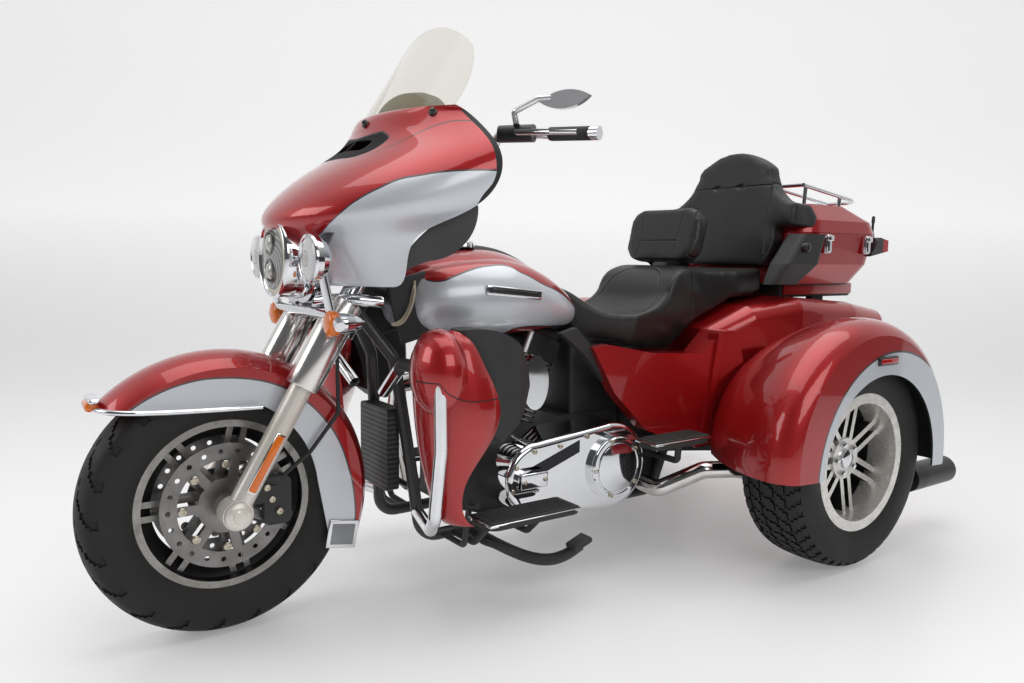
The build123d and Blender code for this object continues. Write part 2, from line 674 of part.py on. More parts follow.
with BuildPart() as rider_backrest:
    with BuildSketch(Plane(origin=at(1440, 0, 906), x_dir=(0, 1, 0), z_dir=Vector(-cos(radians(14)), 0, -sin(radians(14))))):
        with Locations((0, -92)):
            RectangleRounded(322, 184, 64)
    extrude(amount=54)
    add(rod([at(1486, 70, 930), at(1500, 70, 820)], 0, 8))
    add(rod([at(1486, -70, 930), at(1500, -70, 820)], 0, 8))
    add(seat.part, mode=Mode.SUBTRACT)
save(rider_backrest, "rider_backrest")

# Lower fairings: height, inner front (station, y), bulge (station, y), rear edge (station, y)
lower_sections = (
    (252, (466, 285), (484, 322), (516, 342)),
    (300, (441, 260), (455, 330), (480, 342)),
    (360, (432, 245), (440, 345), (476, 358)),
    (440, (421, 236), (432, 378), (504, 390)),
    (530, (411, 230), (428, 400), (542, 406)),
    (610, (401, 236), (426, 398), (526, 404)),
    (690, (404, 252), (424, 380), (490, 390)),
    (738, (420, 300), (428, 336), (448, 350)),
)
guard_radius = 16.0
guard = [at(392, 92, 560), at(372, 235, 650), at(388, 392, 650), at(394, 386, 468), at(398, 350, 292), at(432, 270, 236), at(474, 122, 236)]
with BuildPart() as engine_guard:
    add(rod(guard, 34, guard_radius))
    mirror(about=Plane.XZ)
    add(frame.part, mode=Mode.SUBTRACT)
save(engine_guard, "engine_guard")

with BuildPart() as lower_fairings:
    for z, inner, bulge, edge in lower_sections:
        with BuildSketch(Plane.XY.offset(z)):
            with BuildLine():
                a, b, c = ((front_axle_x - s, y) for s, y in (inner, bulge, edge))
                ThreePointArc(a, b, c)
                Line(c, a)
            make_face()
    loft()
    mirror(about=Plane.XZ)
    add(engine_guard.part, mode=Mode.SUBTRACT)
save(lower_fairings, "lower_fairings")

with BuildPart() as oil_cooler:
    with BuildSketch(cross_plane(405)):
        with Locations((0, 400)):
            RectangleRounded(168, 220, 12)
    extrude(amount=-34)
    add(frame.part, mode=Mode.SUBTRACT)
save(oil_cooler, "oil_cooler")

peg_z = 393.0
peg_station = 1190.0
peg_y = 352.0
board_z = 262.0
board_station = 668.0
board_y = 345.0
board_length = 290.0
board_width = 108.0
with BuildPart() as footboards:
    for side in (1, -1):
        with BuildSketch(Plane.XY.offset(board_z - 12)):
            with Locations((front_axle_x - board_station, side * board_y)):
                RectangleRounded(board_length, board_width, 34)
        extrude(amount=12)
        for station in (board_station - 90, board_station + 80):
            add(rod([at(station, side * rail_y_frame, rail_z), at(station, side * 240, rail_z + 2), at(station, side * (board_y - 10), board_z - 8)], 30, 9))
        with BuildSketch(Plane.XY.offset(peg_z - 16)):
            with Locations((front_axle_x - peg_station, side * peg_y)):
                RectangleRounded(230, 88, 32)
        extrude(amount=16)
        add(rod([at(1262, side * 112, 305), at(1262, side * 300, 305), at(1225, side * 340, peg_z - 8)], 22, 10))
    add(frame.part, mode=Mode.SUBTRACT)
save(footboards, "footboards")

with BuildPart() as foot_controls:
    add(rod([at(612, rail_y_frame, rail_z), at(612, 236, rail_z - 4), at(650, 262, 146), at(752, 322, 112), at(836, 372, 146)], 16, 9))
    add(rod([at(545, rail_y_frame, rail_z), at(545, 244, rail_z + 2), at(532, 290, 292), at(532, 326, 296)], 18, 8))
    add(rod([at(550, -rail_y_frame, rail_z), at(550, -244, rail_z + 2), at(534, -288, 300), at(534, -332, 306)], 16, 9))
    add(frame.part, mode=Mode.SUBTRACT)
    add(footboards.part, mode=Mode.SUBTRACT)
save(foot_controls, "foot_controls")

# Rear body sections: station, half width, top height
body_sections = ((1462, 236, 690), (1620, 285, 762), (1800, 332, 790), (2100, 336, 768), (2290, 322, 738))
body_low = 330.0
body_wall = 7.0
door_low = 422.0
door_high = 704.0
door_half = 286.0
body_rear = body_sections[-1][0]
door_gap = 4.0


def body_form(inset, start, shift):
    with BuildPart() as form:
        for station, half, top in body_sections:
            if station >= start:
                with BuildSketch(cross_plane(station + shift)):
                    with Locations((0, (top + body_low) / 2)):
                        RectangleRounded(2 * (half - inset), top - body_low - 2 * inset, 50 - inset)
        loft(ruled=True)
    return form.part


def body_space(start, end, low):
    with BuildPart() as space:
        add(body_form(body_wall, 0, 0))
        with BuildSketch(cross_plane(start)):
            with Locations((0, low + 1000)):
                Rectangle(2000, 2000)
        extrude(amount=start - end, mode=Mode.INTERSECT)
    return space.part


boot_space = body_space(floor_station + body_wall, body_rear - body_wall, 0)
front_space = body_space(body_sections[0][0] + body_wall, floor_station, body_step - 60)
with BuildPart() as rear_body:
    add(body_form(0, 0, 0))
    with BuildSketch(cross_plane(1400)):
        with Locations((0, body_step - 250)):
            Rectangle(1000, 500)
    extrude(amount=-(floor_station - 1400), mode=Mode.SUBTRACT)
    add(boot_space, mode=Mode.SUBTRACT)
    add(front_space, mode=Mode.SUBTRACT)
    with BuildSketch(cross_plane(body_rear - 2 * body_wall)):
        with Locations((0, (door_low + door_high) / 2)):
            RectangleRounded(2 * (door_half + door_gap), door_high - door_low + 2 * door_gap, 24)
    extrude(amount=-60, mode=Mode.SUBTRACT)
    add(seat.part, mode=Mode.SUBTRACT)
save(rear_body, "rear_body")

door_thickness = 14.0
plate_spacing_y = 146.0
plate_spacing_z = 70.0
plate_z = 560.0
hinge_station = body_rear + 4.0 + run_gap
hinge_z = door_low - 3.0
with BuildPart() as boot_door:
    with BuildSketch(cross_plane(body_rear - 8)):
        with Locations((0, (door_low + door_high) / 2)):
            RectangleRounded(2 * door_half, door_high - door_low, 20)
    extrude(amount=-door_thickness)
    with BuildSketch(cross_plane(body_rear - 8 + door_thickness)):
        with Locations((0, plate_z)):
            RectangleRounded(200, 120, 10)
    extrude(amount=-6)
    with BuildSketch(cross_plane(body_rear - 8 + door_thickness + 6)):
        with Locations((0, plate_z)):
            with GridLocations(plate_spacing_y, plate_spacing_z, 2, 2):
                Circle(3.5)
    extrude(amount=12, mode=Mode.SUBTRACT)
    for y in (-180, 180):
        with BuildSketch(side_plane(y - 25)):
            with Locations((hinge_station, hinge_z)):
                Circle(4)
            Polygon((hinge_station - 4, hinge_z), (hinge_station + 4, hinge_z), (hinge_station + 4, hinge_z + 16), (hinge_station - 4, hinge_z + 16), align=None)
        extrude(amount=50)
save(boot_door, "boot_door")

fender_top_z = 748.0
fender_top_station = 1665.0
fender_front_low = (1262.0, 318.0)
fender_rear_low = (2092.0, 275.0)
arch_radius = 284.0
arch_station = 1700.0
arch_z = 302.0
fender_shell = 6.0
# Rear fender sections: part of the way in from the outer face, how far the outline shrinks there
fender_sections = ((0, 46), (26, 14), (80, 0), (210, 28), (370, 120))


def fender_form(inset):
    with BuildPart() as form:
        for k, (way_in, shrink) in enumerate(fender_sections):
            y = fender_face - way_in - (inset if k in (0, len(fender_sections) - 1) else 0)
            with BuildSketch(side_plane(y)):
                with BuildLine():
                    for side, (station, z) in ((-1, fender_front_low), (1, fender_rear_low)):
                        run, drop = abs(station - fender_top_station), fender_top_z - z
                        full = (run * run + drop * drop) / (2 * drop)
                        centre, radius, low = fender_top_z - full, full - shrink - inset, z - (40 if inset else 0)
                        tip = (fender_top_station + side * (radius ** 2 - (low - centre) ** 2) ** 0.5, low)
                        mid = (fender_top_station + side * radius * sin(radians(50)), centre + radius * cos(radians(50)))
                        ThreePointArc((fender_top_station, centre + radius), mid, tip)
                        if side < 0:
                            front_tip = tip
                    Line(front_tip, tip)
                make_face()
        loft()
    return form.part


left_fender = fender_form(0)
with BuildPart() as rear_fenders:
    add(left_fender)
    add(fender_form(fender_shell), mode=Mode.SUBTRACT)
    with BuildSketch(side_plane(fender_face - 40)):
        with Locations((arch_station, arch_z)):
            Circle(arch_radius)
        with Locations((arch_station, arch_z - 100)):
            Rectangle(2 * arch_radius, 200)
    extrude(amount=80, mode=Mode.SUBTRACT)
    mirror(about=Plane.XZ)
    add(body_form(0, 0, 0), mode=Mode.SUBTRACT)
save(rear_fenders, "rear_fenders")

# Side covers: outline as station and height, plan as station and half width, for the panel and the ridge on it
cover_forms = (
    (((985, 655), (1041, 662), (1190, 632), (1376, 624), (1452, 690), (1500, 690), (1530, 560), (1500, 336), (1361, 330), (1175, 400), (1060, 520)),
     ((980, 190), (980, 222), (1420, 292), (1530, 322), (1530, 204), (1196, 204))),
    (((1424, 684), (1446, 690), (1396, 336), (1372, 336)),
     ((1340, 260), (1340, 286), (1460, 310), (1460, 260))),
)


def cover_panel(outline, plan):
    with BuildPart() as panel:
        with BuildSketch(side_plane(0)):
            Polygon(*outline, align=None)
        extrude(amount=400)
        with BuildSketch(Plane.XY):
            Polygon(*[(front_axle_x - s, y) for s, y in plan], align=None)
        extrude(amount=1000, mode=Mode.INTERSECT)
    return panel.part


with BuildPart() as side_covers:
    for outline, plan in cover_forms:
        add(cover_panel(outline, plan))
    mirror(about=Plane.XZ)
    for neighbour in (frame, seat, footboards):
        add(neighbour.part, mode=Mode.SUBTRACT)
    add(body_form(0, 0, 0), mode=Mode.SUBTRACT)
save(side_covers, "side_covers")

with BuildPart() as dark_panels:
    with BuildSketch(side_plane(0)):
        with BuildLine():
            ThreePointArc((462, 738), (612, 700), (674, 588))
            Polyline((674, 588), (640, 528), (560, 468), (520, 500), (500, 600), (462, 700), (462, 738))
        make_face()
    extrude(amount=410)
    with BuildSketch(Plane.XY):
        Polygon(*[(front_axle_x - s, y) for s, y in ((440, 330), (470, 366), (540, 396), (612, 390), (680, 340), (650, 292), (470, 300))], align=None)
    extrude(amount=1000, mode=Mode.INTERSECT)
    with BuildSketch(side_plane(186)):
        Polygon((880, 700), (935, 714), (1010, 640), (1150, 470), (1120, 470), (960, 640), align=None)
    extrude(amount=22)
    mirror(about=Plane.XZ)
    for neighbour in (lower_fairings, side_covers, fuel_tank, primary_cover):
        add(neighbour.part, mode=Mode.SUBTRACT)
save(dark_panels, "dark_panels")

diff_radius = 92.0
arm_y = 174.0
with BuildPart() as rear_axle:
    with BuildSketch(side_plane(-40)):
        with Locations((wheelbase, rear_tyre_radius)):
            Circle(diff_radius)
    extrude(amount=80)
    with BuildSketch(side_plane(-425)):
        with Locations((wheelbase, rear_tyre_radius)):
            Circle(34)
    extrude(amount=850)
    for side in (1, -1):
        with BuildSketch(side_plane(side * 425)):
            with Locations((wheelbase, rear_tyre_radius)):
                Circle(60)
        extrude(amount=side * (axle_end - 425))
        with BuildSketch(side_plane(side * axle_end)):
            with Locations((wheelbase, rear_tyre_radius)):
                Circle(stub_radius)
        extrude(amount=side * 70)
    for side in (1, -1):
        with BuildSketch(side_plane(side * arm_y)):
            Polygon((1286, pivot_z - 26), (1286, pivot_z + 26), (1600, 366), (1740, 366), (1740, 300), (1600, 280), align=None)
        extrude(amount=side * 24)
        with BuildSketch(side_plane(side * (pivot_plate + touch))):
            with Locations((1310, pivot_z)):
                Circle(18)
        extrude(amount=side * (arm_y - pivot_plate))
save(rear_axle, "rear_axle")

belt_front = 1224.0
with BuildPart() as drive_belt:
    with BuildSketch(side_plane(46)):
        with Locations((belt_front, 330)):
            Circle(38)
        with Locations((wheelbase, rear_tyre_radius)):
            Circle(86)
        Polygon((belt_front, 368), (wheelbase, rear_tyre_radius + 86), (wheelbase, rear_tyre_radius - 86), (belt_front, 292), align=None)
    extrude(amount=26)
    with BuildSketch(side_plane(40)):
        Polygon((belt_front + 60, 362), (wheelbase - 110, rear_tyre_radius + 66), (wheelbase - 110, rear_tyre_radius - 66), (belt_front + 60, 298), align=None)
    extrude(amount=40, mode=Mode.SUBTRACT)
    add(rear_axle.part, mode=Mode.SUBTRACT)
    add(frame.part, mode=Mode.SUBTRACT)
    add(exhaust.part, mode=Mode.SUBTRACT)
save(drive_belt, "drive_belt")

# Luggage case rings: height, front station, rear station, half width, corner radius
case_seam = 1008.0
case_rings = ((828, 1822, 2246, 232, 70), (900, 1836, 2300, 270, 84), (case_seam, 1850, 2328, 285, 90))
lid_rings = ((case_seam + seam_gap, 1850, 2328, 285, 90), (1052, 1862, 2306, 278, 86), (1108, 1890, 2190, 232, 70))


def case_form(rings, inset, low, high):
    with BuildPart() as form:
        for k, (z, front, rear, half, corner) in enumerate(rings):
            z += low if k == 0 else high if k == len(rings) - 1 else 0
            with BuildSketch(Plane.XY.offset(z)):
                with Locations((front_axle_x - (front + rear) / 2, 0)):
                    RectangleRounded(rear - front - 2 * inset, 2 * (half - inset), corner - inset)
        loft(ruled=True)
    return form.part


with BuildPart() as case_lid:
    add(case_form(lid_rings, 0, 0, 0))
    add(case_form(lid_rings, shell, -2, -shell), mode=Mode.SUBTRACT)
save(case_lid, "case_lid")

lid_hinge_y = -290.0
lid_hinge_z = case_seam
with BuildPart() as luggage_case:
    add(case_form(case_rings, 0, 0, 0))
    for station in (1975, 2210):
        with BuildSketch(side_plane(262)):
            with Locations((station, case_seam - 40)):
                RectangleRounded(36, 60, 6)
        extrude(amount=30)
    for station in (1960, 2200):
        with BuildSketch(cross_plane(station)):
            with Locations((lid_hinge_y, lid_hinge_z)):
                Circle(4)
            with Locations((lid_hinge_y + 6, lid_hinge_z - 14)):
                Rectangle(20, 28)
        extrude(amount=-40)
    with BuildSketch(Plane.XY.offset(740)):
        with Locations((front_axle_x - 1905, 150), (front_axle_x - 1905, -150), (front_axle_x - 2120, 150), (front_axle_x - 2120, -150)):
            Rectangle(70, 24)
    extrude(amount=110)
    add(case_form(case_rings, shell, shell, 2), mode=Mode.SUBTRACT)
    add(case_lid.part, mode=Mode.SUBTRACT)
    add(body_form(0, 0, 0), mode=Mode.SUBTRACT)
save(luggage_case, "luggage_case")

with BuildPart() as passenger_backrest:
    lean = radians(7)
    with BuildSketch(Plane(origin=at(1772, 0, 888), x_dir=(0, 1, 0), z_dir=(-cos(lean), 0, -sin(lean)))):
        with BuildLine():
            Line((-170, 0), (170, 0))
            ThreePointArc((170, 0), (206, -60), (204, -136))
            Line((204, -136), (276, -150))
            ThreePointArc((276, -150), (284, -190), (262, -222))
            ThreePointArc((262, -222), (190, -280), (160, -352))
            ThreePointArc((160, -352), (0, -414), (-160, -352))
            ThreePointArc((-160, -352), (-190, -280), (-262, -222))
            ThreePointArc((-262, -222), (-284, -190), (-276, -150))
            Line((-276, -150), (-204, -136))
            ThreePointArc((-204, -136), (-206, -60), (-170, 0))
        make_face()
    extrude(amount=66)
    for side in (1, -1):
        with BuildSketch(side_plane(side * 214)):
            Polygon((1790, 1030), (1924, 1020), (1940, 1060), (1900, 1104), (1800, 1108), align=None)
        extrude(amount=side * 68)
    add(case_form(lid_rings, 0, 0, 0), mode=Mode.SUBTRACT)
    add(case_form(case_rings, 0, 0, 0), mode=Mode.SUBTRACT)
save(passenger_backrest, "passenger_backrest")

rack_front = (1955.0, 1176.0)
rack_rear = (2296.0, 1130.0)
rack_half = 196.0


def on_rack(station, y, drop=0.0):
    part_way = (station - rack_front[0]) / (rack_rear[0] - rack_front[0])
    return at(station, y, rack_front[1] + part_way * (rack_rear[1] - rack_front[1]) - drop)


with BuildPart() as luggage_rack:
    hoop = [on_rack(rack_front[0], rack_half), on_rack(rack_rear[0], rack_half), on_rack(rack_rear[0], -rack_half), on_rack(rack_front[0], -rack_half)]
    add(rod(hoop, 60, 7))
    add(rod([hoop[0], hoop[-1]], 0, 7))
    for y in (-66, 66):
        add(rod([on_rack(rack_front[0], y), on_rack(rack_rear[0], y)], 0, 6))
    for station, y in ((1975, 192), (1975, -192), (2180, 192), (2180, -192)):
        add(rod([on_rack(station, y), on_rack(station, y * 0.97, 90)], 0, 7))
    add(case_form(lid_rings, 0, 0, 0), mode=Mode.SUBTRACT)
    add(passenger_backrest.part, mode=Mode.SUBTRACT)
save(luggage_rack, "luggage_rack")

with BuildPart() as speaker_pods:
    for z, front, rear, inner, outer in ((832, 1690, 1830, 236, 288), (900, 1724, 1900, 238, 318), (1000, 1800, 1925, 246, 326)):
        with BuildSketch(Plane.XY.offset(z)):
            with Locations((front_axle_x - (front + rear) / 2, (inner + outer) / 2)):
                RectangleRounded(rear - front, outer - inner, 22)
    loft(ruled=True)
    add(case_form(case_rings, 0, 0, 0), mode=Mode.SUBTRACT)
    mirror(about=Plane.XZ)
save(speaker_pods, "speaker_pods")

with BuildPart() as tail_lamps:
    with BuildSketch(cross_plane(2020)):
        with Locations((590, 545)):
            Ellipse(34, 44)
    extrude(amount=-34)
    add(left_fender, mode=Mode.SUBTRACT)
    with BuildSketch(side_plane(150)):
        Polygon((2240, 930), (overall_length - front_tyre_radius, 950), (overall_length - front_tyre_radius, 990), (2300, 1000), align=None)
    extrude(amount=140)
    add(case_form(case_rings, 0, 0, 0), mode=Mode.SUBTRACT)
    mirror(about=Plane.XZ)
save(tail_lamps, "tail_lamps")
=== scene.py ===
import bpy
import math
from mathutils import Matrix, Vector


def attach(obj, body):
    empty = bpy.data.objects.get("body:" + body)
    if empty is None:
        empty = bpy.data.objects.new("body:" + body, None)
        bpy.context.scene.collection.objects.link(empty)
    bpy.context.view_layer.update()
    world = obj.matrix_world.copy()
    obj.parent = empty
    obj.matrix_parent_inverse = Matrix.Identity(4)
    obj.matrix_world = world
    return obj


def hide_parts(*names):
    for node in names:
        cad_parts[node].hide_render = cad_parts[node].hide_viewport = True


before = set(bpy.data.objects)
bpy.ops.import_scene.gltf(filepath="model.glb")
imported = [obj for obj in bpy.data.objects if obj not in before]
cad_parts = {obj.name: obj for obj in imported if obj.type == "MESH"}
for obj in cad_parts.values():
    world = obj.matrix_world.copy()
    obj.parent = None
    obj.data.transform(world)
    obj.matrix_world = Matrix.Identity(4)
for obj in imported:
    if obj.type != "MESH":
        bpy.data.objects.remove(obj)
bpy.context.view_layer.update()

# The studio: a white paper sweep that runs from the floor up behind the trike,
# lit by large soft boxes overhead, at the left and ahead, in a room that is darker
# in front and has a black card at the left rear.
def placed(name, data):
    piece = bpy.data.objects.new(name, data)
    bpy.context.collection.objects.link(piece)
    return piece


camera_place = Vector((1.518755, 1.950791, 0.912502))
camera_yaw, camera_pitch, camera_roll = (math.radians(a) for a in (-124.808, -6.088, 0.798))
focal_pixels, photo_width = 797.995, 1024

camera_data = bpy.data.cameras.new("photo_camera")
camera_data.sensor_width = 36.0
camera_data.lens = focal_pixels / photo_width * camera_data.sensor_width
camera_data.clip_end = 60.0
camera = placed("photo_camera", camera_data)
ahead = Vector((math.cos(camera_pitch) * math.cos(camera_yaw), math.cos(camera_pitch) * math.sin(camera_yaw),
    math.sin(camera_pitch)))
level = ahead.cross(Vector((0, 0, 1))).normalized()
above = level.cross(ahead)
right = math.cos(camera_roll) * level + math.sin(camera_roll) * above
upward = -math.sin(camera_roll) * level + math.cos(camera_roll) * above
turned_camera = Matrix((right, upward, -ahead)).transposed().to_4x4()
camera.matrix_world = Matrix.Translation(camera_place) @ turned_camera
bpy.context.scene.camera = camera
bpy.context.scene.view_settings.view_transform = "Standard"


def lay(tree, kind, entries=None, **settings):
    piece = tree.nodes.new("ShaderNode" + kind)
    for key, value in settings.items():
        setattr(piece, key, value)
    for key, value in (entries or {}).items():
        if isinstance(value, bpy.types.NodeSocket):
            tree.links.new(value, piece.inputs[key])
        else:
            piece.inputs[key].default_value = value
    return piece


def blank(name, **constants):
    material = bpy.data.materials.new(name)
    material.use_nodes = True
    shader = material.node_tree.nodes["Principled BSDF"]
    for label, value in constants.items():
        shader.inputs[label.replace("_", " ")].default_value = value
    return material, material.node_tree, shader


def open_mesh():
    bpy.ops.object.mode_set(mode="EDIT")
    bpy.ops.mesh.select_all(action="SELECT")


def close_mesh():
    bpy.ops.object.mode_set(mode="OBJECT")


studio = bpy.data.worlds.new("studio")
bpy.context.scene.world = studio
studio.use_nodes = True
sky = studio.node_tree
sky.nodes.clear()
bright_way = (-0.55, -0.8, 0.24)
sky_way = lay(sky, "TexCoord").outputs["Generated"]
sky_turn = lay(sky, "VectorMath", {0: sky_way, 1: bright_way}, operation="DOT_PRODUCT").outputs["Value"]
sky_half = lay(sky, "MapRange", {"Value": sky_turn, "From Min": -1.0}).outputs["Result"]
sky_ramp = lay(sky, "ValToRGB", {"Fac": sky_half})
dark_end, bright_end = sky_ramp.color_ramp.elements
dark_end.position, dark_end.color = 0.3, (0.09, 0.09, 0.095, 1)
bright_end.position, bright_end.color = 0.66, (0.7, 0.7, 0.705, 1)
sky_light = lay(sky, "Background", {"Color": sky_ramp.outputs["Color"]})
lay(sky, "OutputWorld", {"Surface": sky_light.outputs["Background"]})

for name, place, aim, size, power in (("overhead_box", (-0.1, 0.3, 3.6), (-0.1, 0.2, 0.0), (4.2, 3.0), 62),
        ("left_box", (0.2, 3.9, 2.5), (-0.1, 0.2, 0.5), (3.2, 1.8), 46),
        ("front_box", (3.8, -0.8, 2.2), (0.6, 0.0, 0.7), (1.8, 1.8), 30)):
    lamp_data = bpy.data.lights.new(name, "AREA")
    lamp_data.shape = "RECTANGLE"
    lamp_data.size, lamp_data.size_y = size
    lamp_data.energy = power
    lamp = placed(name, lamp_data)
    lamp.location = place
    lamp.rotation_euler = (Vector(aim) - Vector(place)).to_track_quat("-Z", "Y").to_euler()

bpy.ops.object.select_all(action="DESELECT")
sweep_size, sweep_shift, sweep_rise, sweep_bend, back_line = 16.0, 2.4, 7.0, 3.2, -1.0
bpy.ops.mesh.primitive_plane_add(size=sweep_size, location=(0.0, 0.0, -0.001))
floor = bpy.context.object
floor.name = "studio_floor"
open_mesh()
bpy.ops.transform.translate(value=(0.0, sweep_shift, 0.0))
close_mesh()
for edge in floor.data.edges:
    edge.select = all(floor.data.vertices[v].co.y < back_line for v in edge.vertices)
for corner in floor.data.vertices:
    corner.select = corner.co.y < back_line
for face in floor.data.polygons:
    face.select = False
bpy.ops.object.mode_set(mode="EDIT")
bpy.ops.mesh.select_mode(type="EDGE")
bpy.ops.mesh.extrude_region_move(TRANSFORM_OT_translate={"value": (0.0, 0.0, sweep_rise)})
close_mesh()
for edge in floor.data.edges:
    ends = [floor.data.vertices[v].co for v in edge.vertices]
    edge.select = all(end.y < back_line and end.z < 1.0 for end in ends)
bpy.ops.object.mode_set(mode="EDIT")
bpy.ops.mesh.bevel(offset=sweep_bend, segments=24, profile=0.5)
close_mesh()
floor.rotation_euler = (0, 0, camera_yaw + math.pi / 2)
bpy.ops.object.transform_apply()
bpy.ops.object.shade_smooth()
floor_finish, floor_tree, floor_shader = blank("studio_floor", Base_Color=(0.72, 0.72, 0.725, 1), Roughness=0.36,
    Emission_Strength=1.0)
# The sweep also glows by itself, 0.22 on the floor rising to 0.6 up the wall: painted light in place of the room's
# bounce light.
floor_place = lay(floor_tree, "TexCoord").outputs["Object"]
floor_high = lay(floor_tree, "SeparateXYZ", {0: floor_place}).outputs[2]
sweep_painted_glow = lay(floor_tree, "MapRange", {"Value": floor_high, "From Max": 1.3, "To Min": 0.22, "To Max": 0.6})
floor_tree.links.new(sweep_painted_glow.outputs["Result"], floor_shader.inputs["Emission Color"])
floor.data.materials.append(floor_finish)

bpy.ops.object.select_all(action="DESELECT")
bpy.ops.mesh.primitive_plane_add(size=1.0, location=(-2.3, 3.3, 0.75),
    rotation=(math.radians(90), 0, math.radians(35)))
card = bpy.context.object
card.name = "studio_dark_card"
card.scale = (3.4, 1.5, 1.0)
bpy.ops.object.transform_apply()
card_finish = blank("studio_dark_card", Base_Color=(0.03, 0.03, 0.03, 1), Roughness=0.9)[0]
card.data.materials.append(card_finish)

# The frame: bent and welded steel tube, powder coated satin black, with the engine
# and every bracket bolted to it.
surface_wear = bpy.data.node_groups.new("surface_wear", "ShaderNodeTree")
for label, way, kind in (("Place", "INPUT", "Vector"), ("Patch Scale", "INPUT", "Float"),
        ("Grain Scale", "INPUT", "Float"), ("Patch", "OUTPUT", "Float"), ("Grain", "OUTPUT", "Float")):
    surface_wear.interface.new_socket(label, in_out=way, socket_type="NodeSocket" + kind)
wear_in, wear_out = surface_wear.nodes.new("NodeGroupInput"), surface_wear.nodes.new("NodeGroupOutput")
wear_patch = lay(surface_wear, "TexNoise", {"Vector": wear_in.outputs["Place"],
    "Scale": wear_in.outputs["Patch Scale"], "Detail": 5.0, "Roughness": 0.62})
wear_grain = lay(surface_wear, "TexNoise", {"Vector": wear_in.outputs["Place"],
    "Scale": wear_in.outputs["Grain Scale"], "Detail": 2.0})
surface_wear.links.new(wear_patch.outputs[0], wear_out.inputs["Patch"])
surface_wear.links.new(wear_grain.outputs[0], wear_out.inputs["Grain"])


def finish(name, colour, shade, metallic, roughness, coat=0.0, patch=6.0, grain=300.0, bump=0.03, depth=0.0006):
    material, tree, shader = blank(name, Metallic=metallic, Coat_Weight=coat, Coat_Roughness=0.03)
    place = lay(tree, "TexCoord", name="place").outputs["Object"]
    scales = {"Place": place, "Patch Scale": patch, "Grain Scale": grain}
    wear = lay(tree, "Group", scales, node_tree=surface_wear)
    patches = {"Value": wear.outputs["Patch"], "From Min": 0.32, "From Max": 0.68}
    spread = lay(tree, "MapRange", patches)
    tint = lay(tree, "MixRGB", {"Fac": spread.outputs[0], "Color1": (*colour, 1), "Color2": (*shade, 1)})
    rough = lay(tree, "MapRange", {**patches, "To Min": roughness[0], "To Max": roughness[1]})
    relief = lay(tree, "Bump", {"Height": wear.outputs["Grain"], "Strength": bump, "Distance": depth})
    tree.links.new(tint.outputs[0], shader.inputs["Base Color"])
    tree.links.new(rough.outputs[0], shader.inputs["Roughness"])
    tree.links.new(relief.outputs[0], shader.inputs["Normal"])
    return material


def dress(material, *nodes):
    for node in nodes:
        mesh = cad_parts[node].data
        if not mesh.materials:
            mesh.materials.append(material)
        for k in range(len(mesh.materials)):
            mesh.materials[k] = material


satin_black = finish("satin_black_coat", (0.022, 0.022, 0.024), (0.034, 0.033, 0.032), 0.0, (0.38, 0.55), 0.25, 9.0,
    700.0, 0.06)
dress(satin_black, "frame")

# The engine: a cast crankcase in wrinkle black, with two finned barrels leaned apart
# whose fin edges are machined bright, under black rocker boxes.
class Reading:
    """A value read off the surface of a piece, worked with plain sums."""

    def __init__(self, tree, socket):
        self.tree, self.socket = tree, socket

    def reckon(self, operation, *others):
        entries = {k: getattr(one, "socket", one) for k, one in enumerate((self, *others))}
        return Reading(self.tree, lay(self.tree, "Math", entries, operation=operation).outputs[0])

    def by(operation):
        return lambda self, *others: self.reckon(operation, *others)

    __add__ = __radd__ = by("ADD")
    __sub__ = by("SUBTRACT")
    __mul__ = by("MULTIPLY")
    __truediv__ = by("DIVIDE")
    __lt__ = by("LESS_THAN")
    __gt__ = by("GREATER_THAN")
    __abs__ = by("ABSOLUTE")
    lesser = by("MINIMUM")
    greater = by("MAXIMUM")

    def __rsub__(self, other):
        return self * -1.0 + other

    def within(self, low, high):
        return (self > low) * (self < high)


def axes(material, kind="Object"):
    tree = material.node_tree
    parts = lay(tree, "SeparateXYZ", {0: tree.nodes["place"].outputs[kind]})
    return [Reading(tree, one) for one in parts.outputs]


def distance(a, b):
    return (a * a + b * b).reckon("SQRT")


def overlay(material, mask, colour, metallic=None, roughness=None, coat=None):
    tree = material.node_tree
    shader = tree.nodes["Principled BSDF"]
    under = shader.inputs["Base Color"].links[0].from_socket
    cover = lay(tree, "MixRGB", {"Fac": mask.socket, "Color1": under, "Color2": (*colour, 1)})
    tree.links.new(cover.outputs[0], shader.inputs["Base Color"])
    for label, value in (("Metallic", metallic), ("Roughness", roughness), ("Coat Weight", coat)):
        if value is not None:
            entry = shader.inputs[label]
            was = entry.links[0].from_socket if entry.links else entry.default_value
            mix = lay(tree, "Mix", {0: mask.socket, 2: was, 3: value}, data_type="FLOAT")
            tree.links.new(mix.outputs[0], entry)


crank_x, crank_z = 0.244, 0.31
vee = math.radians(22.5)
wrinkle_black = finish("wrinkle_black", (0.017, 0.017, 0.018), (0.03, 0.03, 0.03), 0.1, (0.42, 0.6), 0.0, 14.0, 900.0,
    0.25, 0.0008)
dress(wrinkle_black, "crankcase", "rear_axle")
fin_black = finish("fin_black", (0.014, 0.014, 0.015), (0.03, 0.03, 0.03), 0.2, (0.35, 0.5), 0.0, 14.0, 800.0, 0.15)
x, y, z = axes(fin_black)
across = abs(abs(x - crank_x) * math.cos(vee) - (z - crank_z) * math.sin(vee))
edge = across.greater(abs(y))
overlay(fin_black, edge.within(0.0722, 0.08), (0.55, 0.55, 0.54), 1.0, 0.28)
dress(fin_black, "cylinders")

# The chrome engine covers: die-cast aluminium, polished and plated, each held by
# a ring of small screws. The rack, the lamp bar, the fork tubes and the clamps are
# plated in the same way.
def plated(name):
    return finish(name, (0.8, 0.81, 0.83), (0.72, 0.73, 0.75), 1.0, (0.035, 0.085), 0.0, 7.0, 120.0, 0.006)


